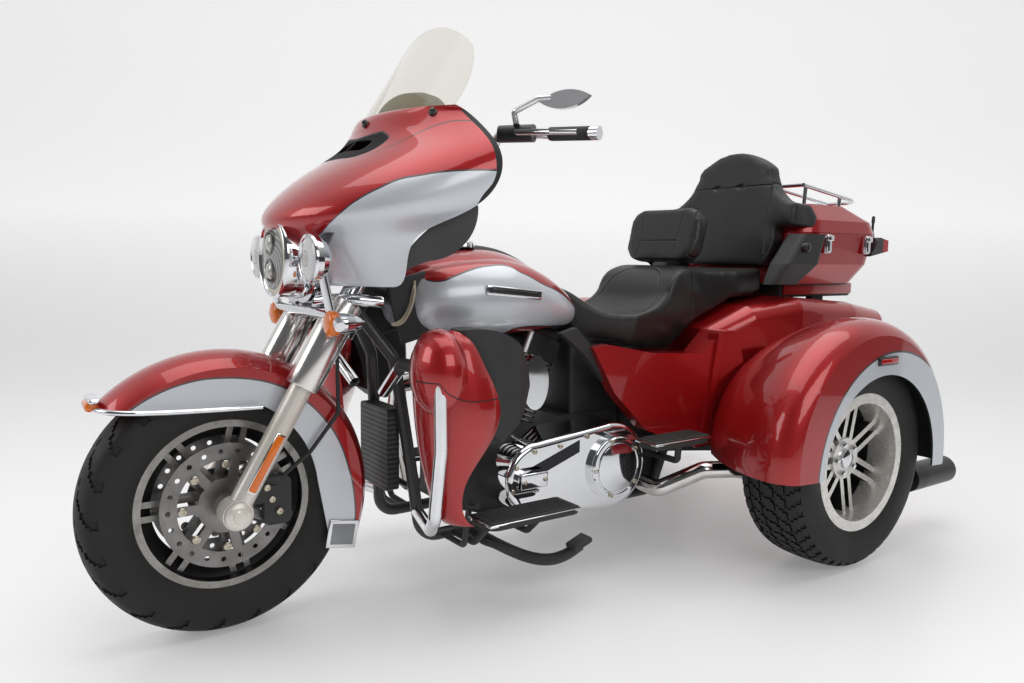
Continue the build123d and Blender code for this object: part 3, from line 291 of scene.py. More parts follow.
chrome = plated("bright_chrome")
dress(chrome, "engine_covers", "luggage_rack", "lamp_bar", "fork_tubes", "triple_clamps")
primary_chrome = plated("primary_chrome")
x, y, z = axes(primary_chrome)
# A slanted band on the outer face of the primary cover is painted near black: a painted dark reflection of its
# recessed face.
slope = z - (x * -0.335 + 0.4)
dark_reflection_band = slope.within(0.0, 0.036) * x.within(0.1, 0.318)
overlay(primary_chrome, dark_reflection_band * (y > 0.235), (0.035, 0.036, 0.04), 1.0, 0.1)
dress(primary_chrome, "primary_cover")

# The engine guard: a bent steel hoop, plated where it stands outside the leg fairings, with painted shade on its
# upper run:
# near black where it tucks in behind them.
guard_chrome = plated("guard_chrome")
x, y, z = axes(guard_chrome)
# Painted shade: the upper run behind the leg fairings is made near black.
tucked_run_shade = abs(y).within(0.215, 0.35) * (z > 0.5)
overlay(guard_chrome, tucked_run_shade, (0.02, 0.02, 0.021), 0.0, 0.45)
dress(guard_chrome, "engine_guard")

# The handlebar and its controls: a plated bar with ribbed rubber grips and bright end
# bands, black switch clusters, and plated mirrors on curved stems.
bar_chrome = plated("bar_chrome")
x, y, z = axes(bar_chrome)
wide = abs(y)
ridge = (wide * 900.0).reckon("SINE") > 0.3
overlay(bar_chrome, wide.within(0.352, 0.458), (0.016, 0.016, 0.016), 0.0, 0.62)
overlay(bar_chrome, ridge * wide.within(0.362, 0.448), (0.035, 0.035, 0.035), 0.0, 0.55)
dress(bar_chrome, "handlebar")
control_black = finish("control_black", (0.018, 0.018, 0.019), (0.03, 0.03, 0.03), 0.0, (0.35, 0.5), 0.1, 9.0, 800.0,
    0.12)
x, y, z = axes(control_black)
overlay(control_black, z > 1.237, (0.86, 0.87, 0.88), 0.7, 0.1)
overlay(control_black, (z < 1.2085) * (abs(y) > 0.335), (0.8, 0.81, 0.83), 1.0, 0.08)
dress(control_black, "hand_controls")

# The headlamp: a plated nacelle with a glass face, a cream ring of light round the
# edge and grey reflector segments inside.
head_chrome = plated("headlamp_face")
x, y, z = axes(head_chrome)
up = z - 0.901
spoke_turn = up.reckon("ARCTAN2", y)
reach_out = distance(y, up)
front_side = x > 0.857
cell = (spoke_turn * 14.0 + reach_out * 420.0).reckon("SINE") > 0.2
overlay(head_chrome, front_side * (reach_out < 0.098), (0.62, 0.58, 0.47), 0.0, 0.25)
overlay(head_chrome, front_side * (reach_out < 0.078), (0.2, 0.2, 0.195), 0.3, 0.15)
overlay(head_chrome, cell * (front_side * (reach_out < 0.074)), (0.4, 0.4, 0.385), 0.5, 0.12)
dress(head_chrome, "headlamp")

# The exhaust: a plated pipe that runs back on each side to a long silencer under
# the tail, with a matt black ribbed tip. The drive belt and the brake hoses beside it
# are black rubber.
pipe_chrome = finish("pipe_chrome", (0.78, 0.78, 0.79), (0.62, 0.58, 0.53), 1.0, (0.05, 0.12), 0.0, 8.0, 160.0, 0.01)
x, y, z = axes(pipe_chrome)
rib = (x * 560.0).reckon("SINE") > 0.0
overlay(pipe_chrome, x < -0.985, (0.02, 0.02, 0.021), 0.2, 0.42)
overlay(pipe_chrome, rib * (x < -1.13), (0.05, 0.05, 0.052), 0.3, 0.35)
dress(pipe_chrome, "exhaust")
belt_rubber = finish("belt_rubber", (0.02, 0.02, 0.02), (0.03, 0.03, 0.03), 0.0, (0.6, 0.75), 0.0, 20.0, 500.0, 0.2)
dress(belt_rubber, "drive_belt", "brake_hose")

# The painted bodywork: pressed steel and moulded panels in metallic candy red under
# clear lacquer, with silver second colour and a fine dark line where they meet.
red, deep_red = (0.43, 0.006, 0.008), (0.36, 0.004, 0.006)
silver = (0.63, 0.66, 0.7)
pinstripe = (0.07, 0.045, 0.05)


def candy(name):
    return finish(name, red, deep_red, 0.5, (0.34, 0.4), 1.0, 4.0, 2200.0, 0.03, 0.0004)


def traced(value, points):
    tree, points = value.tree, sorted(points)
    (low, high), heights = (points[0][0], points[-1][0]), [p[1] for p in points]
    floor_z, top_z = min(heights), max(heights)
    along = lay(tree, "MapRange", {"Value": value.socket, "From Min": low, "From Max": high})
    line = lay(tree, "FloatCurve", {"Value": along.outputs[0]})
    bend = line.mapping.curves[0]
    knots = [((px - low) / (high - low), (pz - floor_z) / (top_z - floor_z)) for px, pz in points]
    bend.points[0].location, bend.points[1].location = knots[0], knots[-1]
    for knot in knots[1:-1]:
        bend.points.new(*knot)
    line.mapping.update()
    height = lay(tree, "MapRange", {"Value": line.outputs[0], "To Min": floor_z, "To Max": top_z})
    return Reading(tree, height.outputs[0])


def second_colour(material, inside, gap, width=0.0022):
    overlay(material, inside, silver, 0.38, 0.4)
    overlay(material, abs(gap) < width, pinstripe, 0.2, 0.3)


plain_red = candy("candy_red")
dress(plain_red, "rear_body", "side_covers", "case_lid", "boot_door")

# The fuel tank: two pressed steel halves seam welded, silver on the sides below a
# line that drops from the neck to the tail, and a red strip along the lower edge.
tank_red = candy("tank_two_tone")
x, y, z = axes(tank_red)
upper = traced(x, [(0.52, 0.853), (0.507, 0.846), (0.49, 0.846), (0.465, 0.854), (0.436, 0.865), (0.405, 0.875),
    (0.372, 0.883), (0.339, 0.887), (0.307, 0.889), (0.277, 0.884), (0.251, 0.87), (0.22, 0.857), (0.186, 0.84),
    (0.109, 0.812), (0.044, 0.776), (0.0, 0.758)])
lower = traced(x, [(0.3, 0.68), (0.273, 0.699), (0.254, 0.715), (0.2, 0.718), (0.12, 0.714), (0.061, 0.712),
    (0.0, 0.712)])
over, under = z - upper, z - lower
second_colour(tank_red, (over < 0.0) * (under > 0.0), abs(over).lesser(abs(under)))
dress(tank_red, "fuel_tank")

# The front fairing: one moulded shell on the fork, red over the brow and nose and
# silver along the flank, with a black rubber strip round its rear edge.
fairing_paint = candy("fairing_two_tone")
x, y, z = axes(fairing_paint)
flank = traced(x, [(0.829, 0.93), (0.821, 0.959), (0.813, 0.984), (0.795, 1.01), (0.767, 1.036), (0.723, 1.064),
    (0.682, 1.084), (0.644, 1.093), (0.605, 1.101), (0.545, 1.107), (0.474, 1.109)])
gap = z - flank
behind = x < 0.826
second_colour(fairing_paint, behind * (gap < 0.0), abs(gap) + (1.0 - behind))
wide = abs(y)
seam_y = traced(x, [(0.48, 0.315), (0.527, 0.274), (0.561, 0.247), (0.609, 0.212), (0.658, 0.182), (0.71, 0.137),
    (0.776, 0.035), (0.79, 0.0)])
brow_seam = abs(wide - seam_y) < 0.0018
overlay(fairing_paint, brow_seam * z.within(1.112, 1.262), (0.05, 0.012, 0.013), 0.2, 0.5)
# The vent opening is enlarged in paint, near black with a dark grey rim: painted shade for the hollow behind the
# moulded slot.
vent_low = traced(wide, [(0.0, 0.727), (0.034, 0.7255), (0.103, 0.7155), (0.13, 0.697), (0.142, 0.68), (0.15, 0.652)])
vent_high = traced(wide, [(0.0, 0.657), (0.018, 0.656), (0.08, 0.645), (0.119, 0.637), (0.15, 0.64)])
for margin, colour, rough in ((0.003, (0.03, 0.03, 0.03), 0.5), (0.0, (0.003, 0.003, 0.003), 0.9)):
    vent_shade = (x < vent_low + margin) * (x > vent_high - margin) * (wide < 0.147 + margin)
    overlay(fairing_paint, vent_shade * (z > 1.1), colour, 0.0, rough, 0.0)
rear_edge = traced(z, [(1.03, 0.512), (1.045, 0.509), (1.105, 0.482), (1.165, 0.482), (1.225, 0.489), (1.272, 0.524)])
strip = x < rear_edge + 0.006
overlay(fairing_paint, strip * z.within(1.02, 1.262), (0.01, 0.01, 0.01), 0.0, 0.6, 0.0)
dress(fairing_paint, "fairing")

# The front fender: a deep pressed guard, red over the crown, with silver sides that
# follow the wheel round to the tail.
fender_paint = candy("front_fender_two_tone")
x, y, z = axes(fender_paint)
front_axle_x, front_axle_z = 1.019, 0.316
ahead_of, above_axle = x - front_axle_x, z - front_axle_z
turn = above_axle.reckon("ARCTAN2", ahead_of)
turn = turn + (turn < -1.5) * math.tau
band = traced(turn, [(0.7, 0.33), (0.89, 0.327), (1.1, 0.322), (1.38, 0.315), (1.665, 0.308), (2.02, 0.306),
    (2.46, 0.3), (2.84, 0.3), (3.07, 0.306), (3.24, 0.3135), (3.4, 0.323), (3.6, 0.33)])
gap = distance(ahead_of, above_axle) - band
second_colour(fender_paint, gap < 0.0, gap)
dress(fender_paint, "front_fender")

# The rear fenders: moulded shells over each rear tyre, red, with a silver band that
# follows the wheel opening on the outer face, and near black on the faces that turn in toward the wheel.
rear_paint = candy("rear_fender_two_tone")
x, y, z = axes(rear_paint)
arch_x, arch_z = -0.723, 0.302
from_x, from_z = x - arch_x, z - arch_z
gap = distance(from_x, from_z) - 0.35
outer = abs(y) > 0.64
second_colour(rear_paint, outer * (gap < 0.0), abs(gap) + (1.0 - outer), 0.003)
facing_x, _, facing_z = axes(rear_paint, "Normal")
inward = facing_x * from_x + facing_z * from_z
overlay(rear_paint, inward < -0.12, (0.008, 0.008, 0.008), 0.0, 0.7, 0.0)
dress(rear_paint, "rear_fenders")

# The luggage case: a moulded tub in the body red, with a black belly below the
# painted side and plated latch plates, under a red lid that closes on a seam.
case_paint = candy("case_red")
x, y, z = axes(case_paint)
overlay(case_paint, z < 0.832, (0.01, 0.01, 0.011), 0.0, 0.5, 0.0)
overlay(case_paint, (abs(y) > 0.2862) * (z > 0.9), (0.8, 0.81, 0.83), 1.0, 0.07)
dress(case_paint, "luggage_case")

# The leg fairings: red teardrop mouldings outside the guard bars, each with a fine
# gap round the lid of its box.
leg_paint = candy("leg_fairing_red")
x, y, z = axes(leg_paint)
lid_line = traced(x, [(0.5, 0.5785), (0.56, 0.5785), (0.6, 0.59), (0.64, 0.625)])
lid_gap = abs(z - lid_line) < 0.0016
overlay(leg_paint, lid_gap * (abs(y) > 0.34), (0.02, 0.004, 0.004), 0.0, 0.5, 0.0)
dress(leg_paint, "lower_fairings")

# The moulded black parts: injection moulded polymer with a fine grain, left in its
# own colour and screwed on. The oil cooler, the smoke grey deflectors, the rubber
# footboards and the red tail lamps are fixed in the same way.
grained_black = finish("grained_black", (0.021, 0.021, 0.022), (0.032, 0.032, 0.033), 0.0, (0.48, 0.62), 0.0, 6.0,
    950.0, 0.22, 0.0007)
dress(grained_black, "inner_fairing", "dark_panels", "speaker_pods", "brake_calipers", "foot_controls")
cooler_black = finish("cooler_black", (0.014, 0.014, 0.015), (0.024, 0.024, 0.024), 0.3, (0.4, 0.55), 0.0, 20.0,
    700.0, 0.1)
x, y, z = axes(cooler_black)
slat = (z * 480.0).reckon("SINE") > 0.35
overlay(cooler_black, slat, (0.055, 0.055, 0.056), 0.5, 0.35)
dress(cooler_black, "oil_cooler")
smoke_grey = finish("smoke_grey", (0.055, 0.054, 0.054), (0.075, 0.073, 0.072), 0.0, (0.42, 0.55), 0.1, 5.0, 900.0,
    0.12)
dress(smoke_grey, "fairing_deflectors")
board_rubber = finish("board_rubber", (0.022, 0.022, 0.022), (0.04, 0.039, 0.037), 0.0, (0.55, 0.75), 0.0, 16.0,
    600.0, 0.2)
dress(board_rubber, "footboards")
red_lens = finish("red_lens", (0.42, 0.006, 0.01), (0.34, 0.004, 0.008), 0.0, (0.06, 0.12), 0.5, 9.0, 140.0, 0.3)
x, y, z = axes(red_lens)
overlay(red_lens, (z > 0.9) * (x > -1.302), (0.016, 0.016, 0.017), 0.0, 0.45)
dress(red_lens, "tail_lamps")

# The fork: cast aluminium lower legs with a dull machined skin that slide on
# plated tubes held in the two clamps.
dull_alloy = finish("dull_alloy", (0.84, 0.8, 0.75), (0.7, 0.65, 0.57), 0.4, (0.3, 0.44), 0.0, 9.0, 500.0, 0.05)
dress(dull_alloy, "fork_sliders")

# The wheels: cast alloy, painted black in the pockets, with the spoke faces and the
# deep outer lip machined bright, a little stained by road dirt.
disc_steel = finish("disc_steel", (0.27, 0.265, 0.26), (0.19, 0.18, 0.17), 0.9, (0.28, 0.42), 0.0, 18.0, 900.0, 0.05)
dress(disc_steel, "front_discs")
rear_axle_x, rear_axle_z = -0.651, 0.322
for name, nodes, axle_x, axle_z, lip, bright, stain in (("front_wheel_alloy", ("front_wheel",), front_axle_x,
        front_axle_z, 0.199, (0.36, 0.35, 0.335), (0.26, 0.245, 0.22)),
        ("rear_wheel_alloy", ("rear_wheel_left", "rear_wheel_right"), rear_axle_x, rear_axle_z, 0.168,
        (0.86, 0.85, 0.83), (0.7, 0.675, 0.62))):
    alloy = finish(name, bright, stain, 0.55, (0.22, 0.36), 0.0, 34.0, 700.0, 0.05)
    facing = axes(alloy, "Normal")[1]
    x, y, z = axes(alloy)
    radius = distance(x - axle_x, z - axle_z)
    pocket = abs(facing) < 0.8
    spokes = radius.within(0.066, lip)
    overlay(alloy, pocket * spokes, (0.012, 0.012, 0.013), 0.1, 0.45)
    if axle_x < 0:
        # Painted shade: on the rear wheels everything inboard of 0.56 from the middle, deep inside the barrel, is
        # made near black.
        deep = abs(y) < 0.56
        overlay(alloy, deep, (0.012, 0.012, 0.013), 0.1, 0.5)
    dress(alloy, *nodes)

# The windshield: one sheet of tinted acrylic, bent and bolted to the brow of the
# fairing.
glass, tree, shader = blank("tinted_acrylic", Base_Color=(0.56, 0.49, 0.31, 1), Alpha=0.2, IOR=1.49)
place = lay(tree, "TexCoord", name="place").outputs["Object"]
haze = lay(tree, "TexNoise", {"Vector": place, "Scale": 14.0, "Detail": 4.0})
cloud = lay(tree, "MapRange", {"Value": haze.outputs[0], "To Min": 0.02, "To Max": 0.07})
tree.links.new(cloud.outputs[0], shader.inputs["Roughness"])
dress(glass, "windshield")

# The tyres: moulded black rubber on each rim, with slanted tread grooves pressed
# into the crown and smooth sides.
def drawn(points):
    bpy.ops.object.select_all(action="DESELECT")
    bpy.ops.mesh.primitive_plane_add(size=0.001, location=points[0])
    bpy.ops.object.transform_apply()
    bpy.ops.object.mode_set(mode="EDIT")
    bpy.ops.mesh.select_mode(type="VERT")
    bpy.ops.mesh.select_all(action="SELECT")
    bpy.ops.mesh.merge(type="CENTER")
    for start, end in zip(points, points[1:]):
        bpy.ops.mesh.extrude_region_move(TRANSFORM_OT_translate={"value": Vector(end) - Vector(start)})
    return bpy.context.object


def weld():
    open_mesh()
    bpy.ops.mesh.remove_doubles(threshold=0.00005)
    bpy.ops.mesh.normals_make_consistent(inside=False)
    close_mesh()


def turned(profile, centre, axis, steps):
    axis, centre = Vector(axis).normalized(), Vector(centre)
    aside = axis.orthogonal().normalized()
    piece = drawn([centre + axis * along + aside * radius for along, radius in profile])
    bpy.ops.mesh.select_all(action="SELECT")
    bpy.ops.mesh.spin(steps=steps, angle=math.tau, center=centre, axis=axis)
    weld()
    return piece


def take_up(piece):
    bpy.ops.object.select_all(action="DESELECT")
    piece.select_set(True)
    bpy.context.view_layer.objects.active = piece


def settle(piece, name, material, body, angle=40):
    piece.name = piece.data.name = name
    piece.data.materials.clear()
    piece.data.materials.append(material)
    take_up(piece)
    bpy.ops.object.transform_apply()
    bpy.ops.object.shade_smooth_by_angle(angle=math.radians(angle))
    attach(piece, body)


def select_faces(piece, wanted):
    bpy.context.tool_settings.mesh_select_mode = (False, False, True)
    for part in (*piece.data.vertices, *piece.data.edges):
        part.select = False
    for face in piece.data.polygons:
        face.select = wanted(face.center)
    bpy.ops.object.mode_set(mode="EDIT")
    bpy.ops.mesh.select_mode(type="FACE")


def tread_tyre(name, centre, half_profile, steps, columns, period, deep, node, body):
    half = [(-y, r) for y, r in half_profile]
    profile = half + [(-y, r) for y, r in half[-2::-1]] + half[:1]
    piece = turned(profile, centre, (0, 1, 0), steps)

    def in_groove(place):
        y = place.y - centre[1]
        step = int((math.atan2(place.z - centre[2], place.x - centre[0]) / math.tau + 0.5) * steps)
        for low, high, shift, width in columns:
            if low < abs(y) < high and math.hypot(place.z - centre[2], place.x - centre[0]) > half_profile[3][1]:
                slant = shift if y > 0 else -shift
                return width == 0 or (step + slant) % period < width
        return False

    select_faces(piece, in_groove)
    bpy.ops.mesh.extrude_region_shrink_fatten(TRANSFORM_OT_shrink_fatten={"value": -deep})
    close_mesh()
    settle(piece, name, tyre_rubber, body)
    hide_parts(node)


sides = ((1, "left"), (-1, "right"))
tyre_rubber = finish("tyre_rubber", (0.0065, 0.006, 0.006), (0.015, 0.0135, 0.012), 0.0, (0.55, 0.75), 0.0, 13.0,
    420.0, 0.12)
front_half = [(0.046, 0.2032), (0.058, 0.222), (0.0645, 0.25), (0.064, 0.275), (0.0605, 0.291), (0.0555, 0.299),
    (0.049, 0.304), (0.041, 0.3085), (0.033, 0.3115), (0.025, 0.3135), (0.018, 0.3147), (0.011, 0.3155), (0.0, 0.316)]
front_grooves = [(0.0605, 0.0645, 7, 3), (0.0555, 0.0605, 6, 3), (0.049, 0.0555, 5, 3), (0.041, 0.049, 4, 2),
    (0.033, 0.041, 2, 2), (0.025, 0.033, 1, 2), (0.018, 0.025, 0, 3), (0.011, 0.018, 7, 2)]
tread_tyre("front_tyre_treaded", (front_axle_x, 0.0, front_axle_z), front_half, 231, front_grooves, 11, 0.0045,
    "front_tyre", "wheel_front")
rear_half = [(0.088, 0.1905), (0.1, 0.215), (0.104, 0.25), (0.103, 0.28), (0.099, 0.3), (0.0945, 0.3075),
    (0.088, 0.3125), (0.076, 0.3168), (0.064, 0.3189), (0.057, 0.3197), (0.046, 0.3205), (0.035, 0.3211),
    (0.026, 0.3215), (0.02, 0.3217), (0.01, 0.3219), (0.0, 0.322)]
rear_grooves = [(0.088, 0.099, 0, 2), (0.076, 0.088, 1, 1), (0.064, 0.076, 2, 1), (0.057, 0.064, 0, 0),
    (0.046, 0.057, 4, 2), (0.035, 0.046, 3, 1), (0.026, 0.035, 2, 1), (0.02, 0.026, 0, 0), (0.01, 0.02, 1, 2),
    (0.0, 0.01, 0, 1)]
for side, label in sides:
    tread_tyre("rear_tyre_treaded_" + label, (rear_axle_x, side * 0.555, rear_axle_z), rear_half, 240, rear_grooves,
        5, 0.005, "rear_tyre_" + label, "wheel_" + label)

# The seat: moulded foam on a plate, under stretched black vinyl that is sewn round
# the rider's bowl and along the pillion.
def vinyl(name):
    return finish(name, (0.012, 0.012, 0.0125), (0.019, 0.0185, 0.0185), 0.0, (0.36, 0.48), 0.0, 9.0, 620.0, 0.16,
        0.0007)


def pressed(material, gap, width, deep):
    tree = material.node_tree
    entry = tree.nodes["Principled BSDF"].inputs["Normal"]
    dip = lay(tree, "MapRange", {"Value": gap.socket, "From Max": width}, interpolation_type="SMOOTHSTEP")
    under = {"Height": dip.outputs[0], "Normal": entry.links[0].from_socket}
    seam = lay(tree, "Bump", {**under, "Strength": 1.0, "Distance": deep})
    tree.links.new(seam.outputs[0], entry)


def sewn(material, gap, width=0.005):
    pressed(material, gap, width, 0.004)
    overlay(material, gap < width * 0.3, (0.008, 0.008, 0.008), None, 0.6)


def reach(piece):
    spots = [0.0] * (3 * len(piece.data.vertices))
    piece.data.vertices.foreach_get("co", spots)
    return spots


def worked(piece, kind, **settings):
    tool = piece.modifiers.new(kind, kind)
    for key, value in settings.items():
        setattr(tool, key, value)
    bpy.ops.object.modifier_apply(modifier=kind)


def stuffed(name, node, voxel, rounds, cap, material, body, shape=None):
    piece = placed(name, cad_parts[node].data.copy())
    take_up(piece)
    open_mesh()
    bpy.ops.mesh.remove_doubles(threshold=0.0002)
    close_mesh()
    worked(piece, "REMESH", mode="VOXEL", voxel_size=voxel)
    if shape:
        for corner in piece.data.vertices:
            corner.co = shape(corner.co)
    worked(piece, "SMOOTH", factor=0.5, iterations=rounds)
    before = reach(piece)
    puff = piece.modifiers.new("puff", "CLOTH")
    cloth = puff.settings
    cloth.quality, cloth.use_pressure, cloth.uniform_pressure_force = 4, True, 4.0
    cloth.effector_weights.gravity = 0.0
    cloth.tension_stiffness = cloth.compression_stiffness = 12.0
    cloth.bending_stiffness = 6.0
    for step in range(1, 21):
        bpy.context.scene.frame_set(step)
    bpy.ops.object.modifier_apply(modifier="puff")
    bpy.context.scene.frame_set(1)
    after = reach(piece)
    for k in range(0, len(after), 3):
        move = Vector([after[k + n] - before[k + n] for n in range(3)])
        if move.length > cap:
            move = move.normalized() * cap
        for n in range(3):
            after[k + n] = before[k + n] + move[n]
    piece.data.vertices.foreach_set("co", after)
    piece.data.update()
    worked(piece, "SMOOTH", factor=0.5, iterations=8)
    worked(piece, "SUBSURF", levels=1, render_levels=1)
    settle(piece, name, material, body, 180)
    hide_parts(node)


seat_vinyl = vinyl("seat_vinyl")
x, y, z = axes(seat_vinyl)
bowl_gap = abs(distance((x + 0.215) / 0.175, y / 0.152) - 1.0) * 0.15
pillion_gap = abs(abs(y) - 0.15).greater(x + 0.43)
cross_gap = abs(x + 0.425)
sewn(seat_vinyl, bowl_gap.lesser(pillion_gap.lesser(cross_gap)))


def dished(spot):
    ahead = (spot.x + 0.215) / 0.2
    aside = spot.y / 0.17
    deep = max(0.0, 1.0 - ahead * ahead) * max(0.0, 1.0 - aside * aside)
    drop = 0.02 * deep if spot.z > 0.7 else 0.0
    tuck = 0.03 * max(0.0, (0.74 - spot.z) / 0.11)
    return Vector((spot.x, spot.y * (1.0 - tuck / 0.19), spot.z - drop))


stuffed("seat_cushion", "seat", 0.008, 16, 0.004, seat_vinyl, "chassis", dished)

# The rider's backrest: a foam pad on a steel post, vinyl covered, with two upright
# seams and one across.
rest_vinyl = vinyl("backrest_vinyl")
x, y, z = axes(rest_vinyl)
wide = abs(y)
bow = 0.082 + abs(z - 0.985) * 0.16
upright = abs(wide - bow).greater(z - 1.07)
level_gap = abs(z - 0.972).greater(wide - 0.084)
rim_gap = abs(wide - 0.138)
sewn(rest_vinyl, upright.lesser(level_gap).lesser(rim_gap), 0.004)
stuffed("rider_backrest_pad", "rider_backrest", 0.006, 10, 0.004, rest_vinyl, "chassis")

# The passenger's backrest: a tall foam pad on the case, with side wings, tufted at
# two buttons along its one cross seam.
tall_vinyl = vinyl("passenger_vinyl")
x, y, z = axes(tall_vinyl)
wide = abs(y)
seam_y, seam_z = 0.178, 1.168
level_gap = abs(z - seam_z).greater(wide - seam_y)
upright = abs(wide - seam_y).greater(0.94 - z)
sewn(tall_vinyl, level_gap.lesser(upright))
tuft = distance(wide - 0.052, (z - seam_z) * 2.0)
pressed(tall_vinyl, tuft, 0.03, 0.012)
stuffed("passenger_backrest_pad", "passenger_backrest", 0.007, 10, 0.005, tall_vinyl, "lid")

# The lamp glasses: pressed clear glass on the passing lamps and amber plastic on
# the turn signals, each clipped into its plated shell.
def copied(piece, name, body, places, flip=False):
    made = [piece]
    for k, place in enumerate(places, 2):
        twin = placed(name + "_%d" % k, piece.data.copy())
        take_up(twin)
        open_mesh()
        if flip:
            bpy.ops.transform.resize(value=(1, -1, 1), center_override=(0, 0, 0))
            bpy.ops.mesh.flip_normals()
        bpy.ops.transform.translate(value=place)
        close_mesh()
        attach(twin, body)
        made.append(twin)
    return made


def mirrored(piece, name, body):
    copied(piece, name, body, [(0.0, 0.0, 0.0)], True)


def repeated(piece, name, material, body, angle, places):
    settle(piece, name, material, body, angle)
    return copied(piece, name, body, places)


def pair(piece, name, material, body, angle=40):
    settle(piece, name + "_left", material, body, angle)
    mirrored(piece, name + "_right", body)


clear_glass = finish("pressed_glass", (0.66, 0.67, 0.67), (0.56, 0.57, 0.57), 0.0, (0.05, 0.1), 0.6, 18.0, 90.0, 0.35,
    0.001)
x, y, z = axes(clear_glass)
lamp_place = lamp_x, lamp_y, lamp_z = 0.8565, 0.184, 0.901
from_middle = distance(abs(y) - lamp_y, z - lamp_z)
overlay(clear_glass, from_middle.within(0.015, 0.019), (0.3, 0.3, 0.3), 0.8, 0.15)
overlay(clear_glass, from_middle < 0.012, (0.45, 0.43, 0.38), 0.8, 0.12)
spot = turned([(0.0, 0.0515), (0.003, 0.05), (0.0065, 0.043), (0.009, 0.03), (0.0105, 0.016), (0.011, 0.0)],
    lamp_place, (1, 0, 0), 48)
pair(spot, "passing_lamp_glass", clear_glass, "steering", 60)
rim = turned([(-0.004, 0.057), (0.003, 0.0585), (0.006, 0.056), (0.005, 0.0525), (0.0, 0.051), (-0.004, 0.057)],
    lamp_place, (1, 0, 0), 48)
pair(rim, "passing_lamp_rim", chrome, "steering", 60)

amber = finish("amber_lens", (0.85, 0.2, 0.012), (0.72, 0.15, 0.008), 0.0, (0.08, 0.14), 0.5, 14.0, 160.0, 0.3)
signal = turned([(-0.006, 0.0268), (-0.004, 0.03), (0.012, 0.03), (0.017, 0.027), (0.02, 0.018), (0.021, 0.0)],
    (0.803, 0.196, 0.751), (1, 0, 0), 36)
pair(signal, "turn_lens", amber, "steering", 60)

# The headlamp projectors: two small glass lenses in dark bezels, set through a
# shallow dished face inside a plated trim ring.
def spun(name, material, body, slot, angle, *form):
    settle(turned(*form), name, material, body, angle)


projector_glass = finish("projector_glass", (0.5, 0.5, 0.47), (0.36, 0.36, 0.35), 0.2, (0.04, 0.08), 0.8, 22.0, 120.0,
    0.1)
bezel_grey = finish("bezel_grey", (0.1, 0.1, 0.1), (0.16, 0.16, 0.155), 0.6, (0.25, 0.35), 0.0, 30.0, 400.0, 0.1)
face_z, size = 0.903, 0.024
for k, up in enumerate((0.034, -0.034), 1):
    spun("headlamp_projector_%d" % k, projector_glass, "steering", "lamp_chrome", 60,
        [(-0.012, size), (-0.002, size * 0.95), (0.004, size * 0.7), (0.007, size * 0.35), (0.008, 0.0)],
        (0.889, 0.0, face_z + up), (1, 0, 0), 32)
    spun("headlamp_bezel_%d" % k, bezel_grey, "steering", "lamp_chrome", 50,
        [(-0.012, size * 1.02), (0.001, size * 1.05), (0.003, size * 1.18), (0.0, size * 1.3), (-0.012, size * 1.34),
        (-0.012, size * 1.02)], (0.888, 0.0, face_z + up), (1, 0, 0), 32)
spun("headlamp_glass", head_chrome, "steering", "lamp_chrome", 60,
    [(-0.006, 0.0955), (0.0, 0.095), (0.004, 0.08), (0.008, 0.055), (0.011, 0.028), (0.012, 0.0)],
    (0.877, 0.0, face_z), (1, 0, 0), 64)
spun("headlamp_trim_ring", chrome, "steering", "lamp_chrome", 50,
    [(-0.034, 0.101), (-0.004, 0.102), (0.004, 0.1), (0.006, 0.097), (0.003, 0.0935), (-0.034, 0.093),
    (-0.034, 0.101)], (0.8785, 0.0, face_z), (1, 0, 0), 64)

# The fork trim: a long amber reflector on each lower leg, a dull alloy axle cap and
# polished covers over the upper legs, and the black well of the rim between them.
def slab(size, place, edge, segments=3, turn=0.0):
    bpy.ops.object.select_all(action="DESELECT")
    bpy.ops.mesh.primitive_cube_add(size=1.0, location=place)
    piece = bpy.context.object
    piece.scale = size
    bpy.ops.object.transform_apply(location=False, rotation=False, scale=True)
    piece.rotation_euler = (0.0, math.radians(turn), 0.0)
    bpy.ops.object.transform_apply()
    open_mesh()
    bpy.ops.mesh.bevel(offset=edge, segments=segments, affect="EDGES")
    close_mesh()
    return piece


def block(name, material, body, slot, *form):
    settle(slab(*form), name, material, body)


reflector = slab((0.019, 0.008, 0.142), (0.9535, 0.1535, 0.4285), 0.0035, 3, -30)
pair(reflector, "fork_reflector", amber, "steering")
backing = slab((0.024, 0.006, 0.15), (0.9535, 0.1515, 0.4285), 0.0025, 2, -30)
pair(backing, "fork_reflector_frame", chrome, "steering")
satin_alloy = finish("satin_alloy", (0.8, 0.79, 0.77), (0.74, 0.72, 0.69), 0.9, (0.15, 0.21), 0.0, 4.0, 300.0, 0.02)
leg_way = Vector((-0.5, 0.0, 0.866))
for side, label in sides:
    foot = Vector((front_axle_x, side * 0.125, front_axle_z)) + leg_way * 0.322
    spun("fork_cover_" + label, satin_alloy, "steering", "aluminium", 40,
        [(0.0, 0.029), (0.0, 0.038), (0.004, 0.0405), (0.12, 0.0425), (0.228, 0.0425), (0.232, 0.04), (0.232, 0.03),
        (0.0, 0.029)], foot, leg_way, 48)
well_black = finish("rim_well_black", (0.01, 0.01, 0.011), (0.018, 0.018, 0.018), 0.2, (0.4, 0.55), 0.0, 20.0, 600.0,
    0.05)
spun("front_rim_well", well_black, "wheel_front", "black_metal", 40,
    [(-0.048, 0.2005), (-0.044, 0.166), (-0.036, 0.157), (-0.008, 0.157), (0.002, 0.168), (0.026, 0.2005),
    (-0.048, 0.2005)], (front_axle_x, 0.0, front_axle_z), (0, 1, 0), 72)
cap = turned([(-0.002, 0.031), (0.004, 0.0305), (0.008, 0.026), (0.009, 0.016), (0.013, 0.013), (0.014, 0.0)],
    (front_axle_x, 0.156, front_axle_z), (0, 1, 0), 36)
pair(cap, "axle_cap", dull_alloy, "steering")

